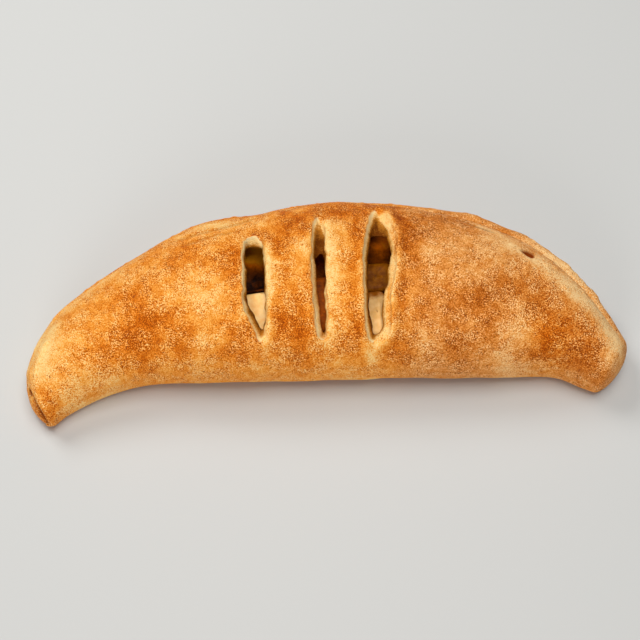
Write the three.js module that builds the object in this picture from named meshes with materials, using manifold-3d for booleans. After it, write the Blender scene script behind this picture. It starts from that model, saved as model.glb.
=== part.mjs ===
// A baked calzone: a half-moon of pizza dough, folded over its filling and sealed along the far edge
// with a rolled seam. Three vents are cut across its crown, and the filling shows through them.
//
// Units are millimetres. +X runs along the calzone, +Y towards the seam and +Z up. The origin is on the
// surface that it rests on, at the middle of its outline.

import * as THREE from "three";
import { mergeVertices } from "three/addons/utils/BufferGeometryUtils.js";
import { RoundedBoxGeometry } from "three/addons/geometries/RoundedBoxGeometry.js";
import Module from "manifold-3d";

// ---------------------------------------------------------------------------------------------
// Driving dimensions
// ---------------------------------------------------------------------------------------------

// The ribs cross the calzone from the folded front edge to the sealed back edge, and fan out at the
// tips. Each gives the widest point of the front, the widest point of the back, and the crown height.
const RIBS = [
  { front: [-164, -65], back: [-180, -42], height: 23 },
  { front: [-151, -54.8], back: [-173, -19], height: 32 },
  { front: [-131, -45], back: [-158, 7], height: 41 },
  { front: [-104, -38.5], back: [-126, 34.5], height: 49 },
  { front: [-70, -38], back: [-84, 61], height: 56 },
  { front: [-34, -37.5], back: [-41, 71], height: 58 },
  { front: [2, -36.5], back: [3, 78], height: 59 },
  { front: [40, -35], back: [48, 75], height: 58 },
  { front: [80, -34.5], back: [93, 64.5], height: 55 },
  { front: [112, -33.5], back: [129.5, 46], height: 49 },
  { front: [136, -32.5], back: [154, 21], height: 43 },
  { front: [152, -38], back: [169.5, -4], height: 37 },
  { front: [163.5, -42], back: [182, -20], height: 29 },
];
const OUTLINE_MIDDLE = [0.5, 11.5]; // where the middle of the outline lies among the ribs

// The section of the dome, as shares of its half width and height.
const FRONT_LEVEL = 0.4; // height of the front's widest point
const BACK_LEVEL = 0.27; // height of the back's widest point
const CREST_SHIFT = -0.12; // the crown leans to the front
const FRONT_SQUARENESS = 2.25; // exponents of the superellipse quarters, where 2 is an ellipse
const BACK_SQUARENESS = 2.1;
const UNDERSIDE_SQUARENESS = 2.2;
const FLAT_FRONT = -0.8; // the flat underside runs between these
const FLAT_BACK = 0.84;
const TIP_ROUNDING = 0.035; // share of the length over which each tip rounds off

const VENT_ZONE = [0.3, 0.62]; // share of the length where the rings are closer together
const RINGS = { leftTip: 21, vents: 30, rightTip: 19 };
const AROUND = { front: 9, back: 16, under: 6, flat: 5 };
const HEART = 0.3; // the level inside the dome that its ends close on, as a share of the height

const CRUST_WALL = 6.5; // thickness of the baked dough over the filling
const CRUST_FLOOR = 5;
const POCKET = { from: 0.1, to: 0.9, rings: 22, rounding: 0.09 };

// The rolled seam along the back: a bead with an oval section that leans on the dome.
const SEAM = {
  width: 17,
  thickness: 16,
  level: 15,
  // how far it stands proud of the dome, at even steps from the left tip to the right tip
  proud: [1, 2.6, 3.4, 3, 5, 6, 6.6, 8.8, 9, 6.5, 1.5],
  shareOfCrown: 0.32, // it is no thicker than this share of the dome beside it, on each side
};

// The left tip is tucked: a strip of dough is folded over its end, behind a short groove.
const TUCK = { share: 0.022, width: 0.008, depth: 2.6 };

// The vents, each from its back end to its front end, with how far its sides bow out from that line.
// A low fullness makes blunt ends, and a lean under 1 brings the widest place towards the back.
const LEFT_VENT = {
  back: [-41.5, 35],
  front: [-36.4, -27],
  bowLeft: 8.2,
  bowRight: 4,
  fullness: 0.45,
  lean: 0.62,
};
// The other two stop on a ledge of torn dough at their back ends.
const MIDDLE_VENT = {
  back: [-4, 46],
  front: [-1.4, -24],
  bowLeft: 4.4,
  bowRight: 2.3,
  fullness: 0.7,
  lean: 0.8,
  ledge: { length: 14, level: 49.5 },
};
const RIGHT_VENT = {
  back: [30.5, 53],
  front: [27.4, -25.5],
  bowLeft: 5.8,
  bowRight: 7.6,
  fullness: 0.66,
  lean: 0.85,
  ledge: { length: 8, level: 46 },
};
const VENTS = [LEFT_VENT, MIDDLE_VENT, RIGHT_VENT];
const VENT_STEPS = 14;
const VENT_BOTTOM = 33; // the vents are cut down to here, which is inside the filling's place
const OPEN_TOP = 75; // what is cut out from above is cut from up here
const RIM = { raise: 1.3, reach: 5 }; // the lips of a vent curl up as the dough bakes

// The filling, which fills the crust but for a steam space below the back of the vents. The space
// has a bay below each vent, all with the same floor and the same slope up to the back.
const GAP = 0.3; // clearance between neighbouring pieces
const FILLING_END_GAP = 0.005; // share of the length
const STEAM_BAYS = [
  { from: -60, to: -24, front: 5.6 },
  { from: -24, to: 14, front: 13.3 },
  { from: 14, to: 47, front: 7.4 },
];
const STEAM_FLOOR = 24;
const STEAM_SLOPE = { footY: 30, topY: 49, topZ: 45 };

// The pieces that show in the vents, each with the place of its middle. They are sunk in the filling.
const CHEESE_SLICE = { size: [25, 28, 9], corner: 2, at: [-40.5, -8.6, 40.4], tilt: 15, turn: 11 };
const CHEESE_FOLD = { radius: 7, length: 17, flatten: 0.75, at: [28.9, -6.4, 41], tilt: 14, turn: 2 };
const BROWNED_CHUNK = { radii: [9.5, 10.5, 8.5], at: [29, 18.4, 33], turn: 20 };

const FINISH = {
  crust: { color: 0xd2924c, roughness: 0.72, metalness: 0 },
  filling: { color: 0x9a5a26, roughness: 0.45, metalness: 0 },
  cheese: { color: 0xf0cf8a, roughness: 0.4, metalness: 0 },
  browned: { color: 0xa87440, roughness: 0.55, metalness: 0 },
};

// ---------------------------------------------------------------------------------------------
// Solids
// ---------------------------------------------------------------------------------------------

const wasm = await Module();
wasm.setup();

// A closed three.js geometry as a solid that can be joined and cut.
function solidOf(geometry) {
  geometry.deleteAttribute("normal");
  geometry.deleteAttribute("uv");
  const merged = mergeVertices(geometry, 1e-3);
  const mesh = new wasm.Mesh({
    numProp: 3,
    vertProperties: merged.getAttribute("position").array,
    triVerts: new Uint32Array(merged.index.array),
  });
  return new wasm.Manifold(mesh);
}

// A solid back as a three.js geometry.
function geometryOf(solid) {
  const mesh = solid.getMesh();
  const geometry = new THREE.BufferGeometry();
  geometry.setAttribute("position", new THREE.BufferAttribute(mesh.vertProperties, 3));
  geometry.setIndex(new THREE.BufferAttribute(mesh.triVerts, 1));
  geometry.computeVertexNormals();
  return geometry;
}

// A closed skin over a row of rings, each a list of as many points, with a fan over each end.
function loft(rings) {
  const around = rings[0].length;
  const points = rings.flat();
  const index = [];
  for (let i = 0; i + 1 < rings.length; i++) {
    for (let j = 0; j < around; j++) {
      const a = i * around + j;
      const b = i * around + ((j + 1) % around);
      index.push(a, a + around, b, b, a + around, b + around);
    }
  }
  const last = (rings.length - 1) * around;
  const firstCentre = points.push(centreOf(rings[0])) - 1;
  const lastCentre = points.push(centreOf(rings.at(-1))) - 1;
  for (let j = 0; j < around; j++) {
    const next = (j + 1) % around;
    index.push(firstCentre, j, next);
    index.push(lastCentre, last + next, last + j);
  }
  const geometry = new THREE.BufferGeometry().setFromPoints(points);
  geometry.setIndex(index);
  return geometry;
}

function centreOf(ring) {
  const sum = ring.reduce((total, point) => total.add(point), new THREE.Vector3());
  return sum.divideScalar(ring.length);
}

// ---------------------------------------------------------------------------------------------
// The dome
// ---------------------------------------------------------------------------------------------

const frontCurve = curveThrough(RIBS.map((rib) => [...rib.front, rib.height]));
const backCurve = curveThrough(RIBS.map((rib) => [...rib.back, rib.height]));

function curveThrough(points) {
  const knots = points.map(([x, y, z = 0]) => new THREE.Vector3(x, y, z));
  return new THREE.CatmullRomCurve3(knots, false, "catmullrom", 0.5);
}

// One quarter of a superellipse from its widest point (share 0) to its crest (share 1).
function superQuarter(share, squareness) {
  const angle = (share * Math.PI) / 2;
  return {
    out: Math.cos(angle) ** (2 / squareness),
    up: Math.sin(angle) ** (2 / squareness),
  };
}

// The section's outline, going over the crown from front to back and home along the underside.
// "across" runs from -1 at the front to 1 at the back, and "up" from 0 to 1 at the crown.
function sectionOutline() {
  const outline = [];
  for (let i = 0; i < AROUND.front; i++) {
    const q = superQuarter(i / AROUND.front, FRONT_SQUARENESS);
    const across = CREST_SHIFT - (1 + CREST_SHIFT) * q.out;
    outline.push({ across, up: FRONT_LEVEL + (1 - FRONT_LEVEL) * q.up });
  }
  for (let i = 0; i < AROUND.back; i++) {
    const q = superQuarter(1 - i / AROUND.back, BACK_SQUARENESS);
    const across = CREST_SHIFT + (1 - CREST_SHIFT) * q.out;
    outline.push({ across, up: BACK_LEVEL + (1 - BACK_LEVEL) * q.up });
  }
  for (let i = 0; i < AROUND.under; i++) {
    const q = superQuarter(i / AROUND.under, UNDERSIDE_SQUARENESS);
    outline.push({ across: FLAT_BACK + (1 - FLAT_BACK) * q.out, up: BACK_LEVEL * (1 - q.up) });
  }
  for (let i = 0; i < AROUND.flat; i++) {
    const across = THREE.MathUtils.lerp(FLAT_BACK, FLAT_FRONT, i / AROUND.flat);
    outline.push({ across, up: 0 });
  }
  for (let i = 0; i < AROUND.under; i++) {
    const q = superQuarter(1 - i / AROUND.under, UNDERSIDE_SQUARENESS);
    outline.push({ across: FLAT_FRONT - (1 + FLAT_FRONT) * q.out, up: FRONT_LEVEL * (1 - q.up) });
  }
  return outline;
}

const OUTLINE = sectionOutline();

// One ring of the dome at a share of its length. It is drawn in by "inset" on every side, stands on
// "floor", and "size" shrinks it about its own middle, which rounds off an end.
function domeRing(share, { inset = 0, floor = 0, size = 1, shape = null }) {
  const front = frontCurve.getPoint(share).setZ(0);
  const back = backCurve.getPoint(share).setZ(0);
  const middle = front.clone().lerp(back, 0.5);
  const outward = back.clone().sub(front).normalize();
  const halfWidth = front.distanceTo(back) / 2 - inset;
  const crown = frontCurve.getPoint(share).z - inset - floor;
  return OUTLINE.map(({ across, up }) => {
    let spot = { out: across * halfWidth, up: up * crown };
    if (shape) spot = shape(spot, { share, halfWidth, crown });
    const level = floor + THREE.MathUtils.lerp(HEART * crown, spot.up, size);
    return middle.clone().addScaledVector(outward, spot.out * size).setZ(level);
  });
}

// How much an end is drawn in, "from" the end by a share of the length.
function endSize(from, rounding) {
  const share = Math.min(1, from / rounding);
  return Math.max(0.02, Math.sqrt(1 - (1 - share) ** 2));
}

// Shares of the length for the rings, closer together towards the tips and across the vents.
function domeShares() {
  const [start, end] = VENT_ZONE;
  const shares = [];
  for (let i = 0; i < RINGS.leftTip; i++) shares.push(start * (i / RINGS.leftTip) ** 1.6);
  for (let i = 0; i < RINGS.vents; i++) shares.push(start + ((end - start) * i) / RINGS.vents);
  for (let i = RINGS.rightTip; i >= 0; i--) {
    shares.push(1 - (1 - end) * (i / RINGS.rightTip) ** 1.6);
  }
  return shares;
}

// How far the dough curls up at a point, for its distance to the nearest vent.
function rimRaise(x, y) {
  let raise = 0;
  for (const vent of VENTS) {
    const away = distanceToVent(vent, x, y);
    raise = Math.max(raise, RIM.raise * Math.exp(-((away / RIM.reach) ** 2)));
  }
  return raise;
}

function makeDome() {
  const rings = domeShares().map((share) => {
    const size = endSize(Math.min(share, 1 - share), TIP_ROUNDING);
    return domeRing(share, { size, shape: dressSpot });
  });
  for (const point of rings.flat()) {
    if (point.z > VENT_BOTTOM) point.z += rimRaise(point.x, point.y);
  }
  return solidOf(loft(rings));
}

// The space inside the crust, or the part of it that the filling takes up.
function makeInside({ inset, floor, endGap = 0 }) {
  const from = POCKET.from + endGap;
  const to = POCKET.to - endGap;
  const made = [];
  for (let i = 0; i <= POCKET.rings; i++) {
    const share = THREE.MathUtils.lerp(from, to, i / POCKET.rings);
    const size = endSize(Math.min(share - from, to - share), POCKET.rounding);
    made.push(domeRing(share, { inset, floor, size }));
  }
  return solidOf(loft(made));
}

// ---------------------------------------------------------------------------------------------
// The rolled seam and the tucked tip
// ---------------------------------------------------------------------------------------------

// A value between those of a list that holds at even steps of the length.
function valueAlong(values, share) {
  const place = share * (values.length - 1);
  const i = Math.min(values.length - 2, Math.floor(place));
  return THREE.MathUtils.lerp(values[i], values[i + 1], THREE.MathUtils.smoothstep(place - i, 0, 1));
}

// How far a ray from the heart, at the origin, goes to the far side of an oval, or 0 if it misses.
function reachOfOval(ray, oval) {
  const a = (ray.out / oval.halfWidth) ** 2 + (ray.up / oval.halfHeight) ** 2;
  const b = (oval.out * ray.out) / oval.halfWidth ** 2 + (oval.up * ray.up) / oval.halfHeight ** 2;
  const c = (oval.out / oval.halfWidth) ** 2 + (oval.up / oval.halfHeight) ** 2 - 1;
  const inside = b * b - a * c;
  return inside > 0 ? (b + Math.sqrt(inside)) / a : 0;
}

// Moves a spot of the dome's section out onto the seam, and in where the tuck's groove runs.
function dressSpot(spot, { share, halfWidth, crown }) {
  const heart = { out: CREST_SHIFT * halfWidth, up: HEART * crown };
  const dx = spot.out - heart.out;
  const dz = spot.up - heart.up;
  const far = Math.hypot(dx, dz);
  const ray = { out: dx / far, up: dz / far };
  const oval = {
    out: halfWidth + valueAlong(SEAM.proud, share) - SEAM.width / 2 - heart.out,
    up: Math.min(SEAM.level, 0.4 * crown) - heart.up,
    halfWidth: SEAM.width / 2,
    halfHeight: Math.min(SEAM.thickness / 2, SEAM.shareOfCrown * crown),
  };
  const onTop = THREE.MathUtils.smoothstep(spot.up / crown, 0.25, 0.6);
  const groove = TUCK.depth * onTop * Math.exp(-(((share - TUCK.share) / TUCK.width) ** 2));
  const reach = Math.max(far, reachOfOval(ray, oval)) - groove;
  return { out: heart.out + ray.out * reach, up: heart.up + ray.up * reach };
}

// ---------------------------------------------------------------------------------------------
// The vents
// ---------------------------------------------------------------------------------------------

// How far a vent's sides stand open at a share of its length, from 0 at its ends to 1.
function ventOpening(vent, share) {
  return Math.max(0, Math.sin(Math.PI * share ** vent.lean)) ** vent.fullness;
}

// The vent's outline in plan, whose back end may be drawn in towards the front.
function ventOutline(vent, drawnIn = 0) {
  const [bx, by] = vent.back;
  const [fx, fy] = vent.front;
  const left = [];
  const right = [];
  for (let i = 0; i <= VENT_STEPS; i++) {
    const share = i / VENT_STEPS;
    const place = THREE.MathUtils.lerp(drawnIn / (by - fy), 1, share);
    const x = THREE.MathUtils.lerp(bx, fx, place);
    const y = THREE.MathUtils.lerp(by, fy, place);
    const open = ventOpening(vent, share);
    left.push(new THREE.Vector2(x - vent.bowLeft * open, y));
    right.push(new THREE.Vector2(x + vent.bowRight * open, y));
  }
  return [...left, ...right.slice(1, -1).reverse()];
}

// Distance in plan from a point to the edge of a vent, 0 inside it.
function distanceToVent(vent, x, y) {
  const [bx, by] = vent.back;
  const [fx, fy] = vent.front;
  const share = THREE.MathUtils.clamp((by - y) / (by - fy), 0, 1);
  const open = ventOpening(vent, share);
  const sideways = x - THREE.MathUtils.lerp(bx, fx, share);
  const beside = Math.max(0, sideways - vent.bowRight * open, -sideways - vent.bowLeft * open);
  const beyond = Math.max(0, y - by, fy - y);
  return Math.hypot(beside, beyond);
}

// A plan as an upright solid from one level up to another.
function uprightSolid(plan, bottom, top) {
  const settings = { depth: top - bottom, bevelEnabled: false };
  const geometry = new THREE.ExtrudeGeometry(new THREE.Shape(plan), settings);
  return solidOf(geometry.translate(0, 0, bottom));
}

function makeVentCutter(vent) {
  if (!vent.ledge) return uprightSolid(ventOutline(vent), VENT_BOTTOM, OPEN_TOP);
  const { length, level } = vent.ledge;
  const below = uprightSolid(ventOutline(vent, length), VENT_BOTTOM, OPEN_TOP);
  return below.add(uprightSolid(ventOutline(vent), level, OPEN_TOP));
}

function makeCrust() {
  const pocket = makeInside({ inset: CRUST_WALL, floor: CRUST_FLOOR });
  let crust = makeDome().subtract(pocket);
  for (const vent of VENTS) crust = crust.subtract(makeVentCutter(vent));
  return geometryOf(crust);
}

// ---------------------------------------------------------------------------------------------
// The filling
// ---------------------------------------------------------------------------------------------

function makeSteamSpace() {
  const bays = STEAM_BAYS.map(({ from, to, front }) => {
    const profile = new THREE.Shape([
      new THREE.Vector2(front, STEAM_FLOOR),
      new THREE.Vector2(STEAM_SLOPE.footY, STEAM_FLOOR),
      new THREE.Vector2(STEAM_SLOPE.topY, STEAM_SLOPE.topZ),
      new THREE.Vector2(STEAM_SLOPE.topY, OPEN_TOP),
      new THREE.Vector2(front, OPEN_TOP),
    ]);
    const geometry = new THREE.ExtrudeGeometry(profile, { depth: to - from, bevelEnabled: false });
    // the profile's own X and Y become Y and Z
    geometry.rotateY(Math.PI / 2).rotateX(Math.PI / 2).translate(from, 0, 0);
    return solidOf(geometry);
  });
  return bays.reduce((space, bay) => space.add(bay));
}

// The recess that a sunken piece lies in: a box that clears it by a gap, open at the top.
function makeRecess(width, depth, thickness, place) {
  const tall = OPEN_TOP - place.at[2];
  const geometry = new THREE.BoxGeometry(width + 2 * GAP, depth + 2 * GAP, thickness / 2 + GAP + tall);
  geometry.translate(0, 0, (tall - thickness / 2 - GAP) / 2);
  const recess = lay(new THREE.Mesh(geometry), place);
  recess.updateMatrix();
  return solidOf(geometry.applyMatrix4(recess.matrix));
}

function makeFilling() {
  const inset = CRUST_WALL + GAP;
  const whole = makeInside({ inset, floor: CRUST_FLOOR + GAP, endGap: FILLING_END_GAP });
  const foldWidth = 2 * CHEESE_FOLD.radius;
  const foldLength = CHEESE_FOLD.length + foldWidth;
  const foldThickness = foldWidth * CHEESE_FOLD.flatten;
  return geometryOf(
    whole
      .subtract(makeSteamSpace())
      .subtract(makeRecess(...CHEESE_SLICE.size, CHEESE_SLICE))
      .subtract(makeRecess(foldWidth, foldLength, foldThickness, CHEESE_FOLD)),
  );
}

function makeCheeseSlice() {
  const [width, depth, thickness] = CHEESE_SLICE.size;
  return new RoundedBoxGeometry(width, depth, thickness, 2, CHEESE_SLICE.corner);
}

function makeCheeseFold() {
  const geometry = new THREE.CapsuleGeometry(CHEESE_FOLD.radius, CHEESE_FOLD.length, 5, 12);
  return geometry.scale(1, 1, CHEESE_FOLD.flatten);
}

function makeBrownedChunk() {
  return new THREE.SphereGeometry(1, 14, 10).scale(...BROWNED_CHUNK.radii);
}

// ---------------------------------------------------------------------------------------------
// The assembly
// ---------------------------------------------------------------------------------------------

function namedMesh(name, geometry, finish) {
  const mesh = new THREE.Mesh(geometry, new THREE.MeshStandardMaterial(finish));
  mesh.name = name;
  return mesh;
}

// Lays a piece in its place: turned about the vertical, then with its back end tilted up.
function lay(mesh, { at, turn = 0, tilt = 0 }) {
  mesh.rotation.set(THREE.MathUtils.degToRad(tilt), 0, THREE.MathUtils.degToRad(turn));
  mesh.position.set(...at);
  return mesh;
}

const calzone = new THREE.Group();
calzone.position.set(-OUTLINE_MIDDLE[0], -OUTLINE_MIDDLE[1], 0);
calzone.add(namedMesh("crust", makeCrust(), FINISH.crust));
calzone.add(namedMesh("filling", makeFilling(), FINISH.filling));
calzone.add(lay(namedMesh("cheese_slice", makeCheeseSlice(), FINISH.cheese), CHEESE_SLICE));
calzone.add(lay(namedMesh("cheese_fold", makeCheeseFold(), FINISH.cheese), CHEESE_FOLD));
calzone.add(lay(namedMesh("browned_chunk", makeBrownedChunk(), FINISH.browned), BROWNED_CHUNK));

export default calzone;
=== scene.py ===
"""A baked calzone: a half-moon of dough, folded over melted filling and vented across its crown.

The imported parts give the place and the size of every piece. This script puts the baked crust, the
melted filling and the pieces that show in the vents in their place, and lights them in a plain
studio. Shapes are worked out in millimetres, and become metres when a mesh is made.
"""

from __future__ import annotations

import logging
import math
from dataclasses import dataclass, field
from enum import Enum
from typing import Any, Callable, Sequence

import bmesh
import bpy
import numpy as np
from mathutils import Euler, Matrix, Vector
from mathutils.bvhtree import BVHTree
from mathutils.kdtree import KDTree

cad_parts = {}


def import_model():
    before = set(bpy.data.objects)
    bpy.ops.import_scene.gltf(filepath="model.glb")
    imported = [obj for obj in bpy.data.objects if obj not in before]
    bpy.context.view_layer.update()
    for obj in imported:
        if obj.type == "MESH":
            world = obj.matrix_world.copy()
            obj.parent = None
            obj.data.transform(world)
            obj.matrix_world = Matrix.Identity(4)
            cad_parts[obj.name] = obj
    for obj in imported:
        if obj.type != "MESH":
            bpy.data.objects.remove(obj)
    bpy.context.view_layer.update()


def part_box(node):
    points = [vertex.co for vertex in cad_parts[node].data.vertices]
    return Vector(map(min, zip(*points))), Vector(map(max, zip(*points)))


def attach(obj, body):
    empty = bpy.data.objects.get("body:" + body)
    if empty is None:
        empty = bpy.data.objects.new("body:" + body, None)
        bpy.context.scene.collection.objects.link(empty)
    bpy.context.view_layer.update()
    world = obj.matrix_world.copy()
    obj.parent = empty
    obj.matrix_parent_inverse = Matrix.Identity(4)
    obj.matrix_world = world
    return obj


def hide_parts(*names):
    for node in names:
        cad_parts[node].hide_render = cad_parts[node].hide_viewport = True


log = logging.getLogger("calzone")

MM = 0.001
BODY = "root"
ABOVE_ALL = 0.1  # a level over the whole calzone, in metres

Array = np.ndarray
Pair = tuple[float, float]
Triple = tuple[float, float, float]


# ---- Numbers ----


def lerp(start: Any, end: Any, share: Any) -> Any:
    """The value at a share of the way from start to end."""
    return start + (end - start) * share


def smoothstep(values: Any, low: float, high: float) -> Any:
    """0 below low and 1 above high, with a smooth slope between them."""
    share = np.clip((values - low) / (high - low), 0.0, 1.0)
    return share * share * (3.0 - 2.0 * share)


def bell(distance: Any, width: float) -> Any:
    """1 at no distance, falling smoothly to nothing a few widths away."""
    return np.exp(-((distance / width) ** 2))


class Clouds:
    """Smooth random values all over space, from a seeded lattice that repeats far away."""

    SIDE = 48

    def __init__(self, seed: int) -> None:
        """Draws the lattice.

        Args:
            seed: Number that fixes the draw.
        """
        self.lattice = np.random.default_rng(seed).uniform(-1.0, 1.0, (self.SIDE,) * 3)

    def at(self, points: Array, size: float) -> Array:
        """Reads the clouds.

        Args:
            points: Places in millimetres, one a row.
            size: Distance between one swell and the next, in millimetres.

        Returns:
            A value from -1 to 1 for each place.
        """
        place = points / size
        corner = np.floor(place).astype(int)
        share = place - corner
        share = share * share * (3.0 - 2.0 * share)
        total = np.zeros(len(points))
        for step in np.ndindex(2, 2, 2):
            weight = np.prod(np.where(np.array(step) == 1, share, 1.0 - share), axis=1)
            spot = (corner + step) % self.SIDE
            total += weight * self.lattice[spot[:, 0], spot[:, 1], spot[:, 2]]
        return total


@dataclass(frozen=True)
class Drift:
    """Clouds of one size and one strength."""

    seed: int
    size: float
    strength: float = 1.0

    def at(self, points: Array) -> Array:
        """The clouds' values at the points, times the strength."""
        return self.strength * Clouds(self.seed).at(points, self.size)


class Spline:
    """A Catmull-Rom curve through knots that are numbered evenly along it."""

    def __init__(self, knots: Sequence[Sequence[float]]) -> None:
        """Adds a knot beyond each end, so that the curve reaches its first and last knot.

        Args:
            knots: The points that the curve passes through.
        """
        inner = np.asarray(knots, float)
        before = 2.0 * inner[0] - inner[1]
        after = 2.0 * inner[-1] - inner[-2]
        self.knots = np.vstack([before, inner, after])

    def at(self, shares: Array) -> Array:
        """Points on the curve.

        Args:
            shares: Shares of the length, from 0 to 1.

        Returns:
            One point a row.
        """
        spans = len(self.knots) - 3
        place = np.clip(shares, 0.0, 1.0) * spans
        first = np.minimum(place.astype(int), spans - 1)
        t = (place - first)[:, None]
        a, b, c, d = (self.knots[first + i] for i in range(4))
        leaving = (c - a) / 2.0
        arriving = (d - b) / 2.0
        bend = 3.0 * (c - b) - 2.0 * leaving - arriving
        twist = 2.0 * (b - c) + leaving + arriving
        return b + leaving * t + bend * t**2 + twist * t**3


# ---- Meshes ----


class Slot(Enum):
    """The record's material slots."""

    CRUST = "crust"
    FILLING = "filling"
    CHEESE = "cheese"
    BROWNED = "browned"


def new_object(name: str, points: Array, faces: Sequence[Sequence[int]]) -> bpy.types.Object:
    """Makes a mesh object.

    Args:
        name: Name of the object.
        points: Vertices in millimetres, one a row.
        faces: Vertex numbers of each face.

    Returns:
        The object, linked to the scene.
    """
    mesh = bpy.data.meshes.new(name)
    mesh.from_pydata((points * MM).tolist(), [], faces)
    mesh.update()
    made = bpy.data.objects.new(name, mesh)
    bpy.context.scene.collection.objects.link(made)
    return made


def loft(name: str, rings: Array) -> bpy.types.Object:
    """A closed skin over a row of rings, with a fan of faces over each end, and its faces outward.

    Args:
        name: Name of the object.
        rings: Array of rings, points and coordinates, in millimetres.

    Returns:
        The closed object.
    """
    count, around, _ = rings.shape
    points = np.vstack([rings.reshape(-1, 3), rings[0].mean(axis=0), rings[-1].mean(axis=0)])
    here = np.arange(around)
    following = (here + 1) % around
    faces: list[list[int]] = []
    for i in range(count - 1):
        low = i * around
        high = low + around
        sides = np.stack([low + here, high + here, high + following, low + following], axis=1)
        faces.extend(sides.tolist())
    first = count * around
    last = (count - 1) * around
    faces.extend(np.stack([np.full(around, first), here, following], axis=1).tolist())
    faces.extend(np.stack([np.full(around, first + 1), last + following, last + here], axis=1).tolist())
    made = new_object(name, points, faces)
    shape = bmesh.new()
    shape.from_mesh(made.data)
    if shape.calc_volume(signed=True) < 0.0:
        made.data.flip_normals()
    shape.free()
    return made


def modify(made: bpy.types.Object, kind: str, **settings: Any) -> None:
    """Runs a modifier on an object and keeps the outcome as plain mesh.

    Args:
        made: The object that changes.
        kind: Type of the modifier.
        settings: Its properties.
    """
    step = made.modifiers.new(kind.lower(), kind)
    for name, value in settings.items():
        setattr(step, name, value)
    graph = bpy.context.evaluated_depsgraph_get()
    mesh = bpy.data.meshes.new_from_object(made.evaluated_get(graph))
    made.modifiers.clear()
    made.data = mesh


def carve(made: bpy.types.Object, tool: bpy.types.Object) -> None:
    """Cuts a solid out of an object, and removes that solid."""
    modify(made, "BOOLEAN", operation="DIFFERENCE", solver="MANIFOLD", object=tool)
    bpy.data.objects.remove(tool)


def remesh(made: bpy.types.Object, size: float) -> None:
    """Covers an object with even small faces, whose side is the size in millimetres."""
    modify(made, "REMESH", mode="VOXEL", voxel_size=size * MM)


def tree_of(points: Array) -> KDTree:
    """A tree that finds the points near a place.

    Args:
        points: The points.

    Returns:
        The tree.
    """
    tree = KDTree(len(points))
    for i, point in enumerate(points):
        tree.insert(point, i)
    tree.balance()
    return tree


def inside_box(points: Array, low: Array, high: Array) -> Array:
    """The numbers of the points that lie between two corners."""
    return np.flatnonzero(np.all((points > low) & (points < high), axis=1))


class Clay:
    """A mesh read as arrays in millimetres, so that its points can be pushed about."""

    PULL = 0.6  # share of the way to its neighbours' middle that a point goes in a round

    def __init__(self, made: bpy.types.Object) -> None:
        """Reads the points and the edges.

        Args:
            made: The object to work on.
        """
        self.made = made
        mesh = made.data
        flat = np.empty(len(mesh.vertices) * 3)
        mesh.vertices.foreach_get("co", flat)
        self.points = flat.reshape(-1, 3) / MM
        ends = np.empty(len(mesh.edges) * 2, np.int32)
        mesh.edges.foreach_get("vertices", ends)
        self.edges = ends.reshape(-1, 2)

    def normals(self) -> Array:
        """Works out which way the skin faces.

        Returns:
            Outward directions at the points, as they now are.
        """
        self.write()
        flat = np.empty(len(self.points) * 3, np.float32)
        self.made.data.vertex_normals.foreach_get("vector", flat)
        return flat.reshape(-1, 3).astype(float)

    def write(self) -> None:
        """Puts the points back into the mesh."""
        self.made.data.vertices.foreach_set("co", (self.points * MM).ravel())
        self.made.data.update()

    def smooth(self, rounds: int, weights: Any = 1.0) -> None:
        """Draws each point towards the middle of its neighbours.

        Args:
            rounds: How many times.
            weights: How far each point goes, from 0 to 1.
        """
        count = len(self.points)
        a, b = self.edges.T
        degree = np.bincount(a, minlength=count) + np.bincount(b, minlength=count)
        pull = np.broadcast_to(weights, count)[:, None] * self.PULL
        for _ in range(rounds):
            total = np.empty_like(self.points)
            for axis in range(3):
                line = self.points[:, axis]
                total[:, axis] = np.bincount(a, line[b], count) + np.bincount(b, line[a], count)
            self.points += pull * (total / degree[:, None] - self.points)

    def store(self, name: str, values: Array) -> None:
        """Keeps one value a point in the mesh, where a finish can read it.

        Args:
            name: Name of the attribute.
            values: The values.
        """
        layer = self.made.data.attributes.new(name, "FLOAT", "POINT")
        layer.data.foreach_set("value", np.asarray(values, np.float32))


def coat(made: bpy.types.Object, material: bpy.types.Material) -> None:
    """Covers an object with one material, and makes light run smoothly over its faces.

    Args:
        made: The object.
        material: Its finish.
    """
    mesh = made.data
    mesh.materials.clear()
    mesh.materials.append(material)
    mesh.polygons.foreach_set("material_index", np.zeros(len(mesh.polygons), np.int32))
    mesh.polygons.foreach_set("use_smooth", np.ones(len(mesh.polygons), bool))
    mesh.update()


def join_frame(made: bpy.types.Object, node: str) -> None:
    """Puts a piece in the frame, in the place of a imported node.

    Args:
        made: The piece.
        node: The node that it stands for.
    """
    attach(made, BODY)
    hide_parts(node)


# ---- Shader maths ----


def srgb(red: int, green: int, blue: int) -> tuple[float, float, float, float]:
    """Turns a colour as a screen shows it into a shader's linear values.

    Args:
        red: From 0 to 255.
        green: From 0 to 255.
        blue: From 0 to 255.

    Returns:
        The linear values and full cover.
    """
    parts = [value / 255.0 for value in (red, green, blue)]
    linear = [p / 12.92 if p <= 0.04045 else ((p + 0.055) / 1.055) ** 2.4 for p in parts]
    return (linear[0], linear[1], linear[2], 1.0)


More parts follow.
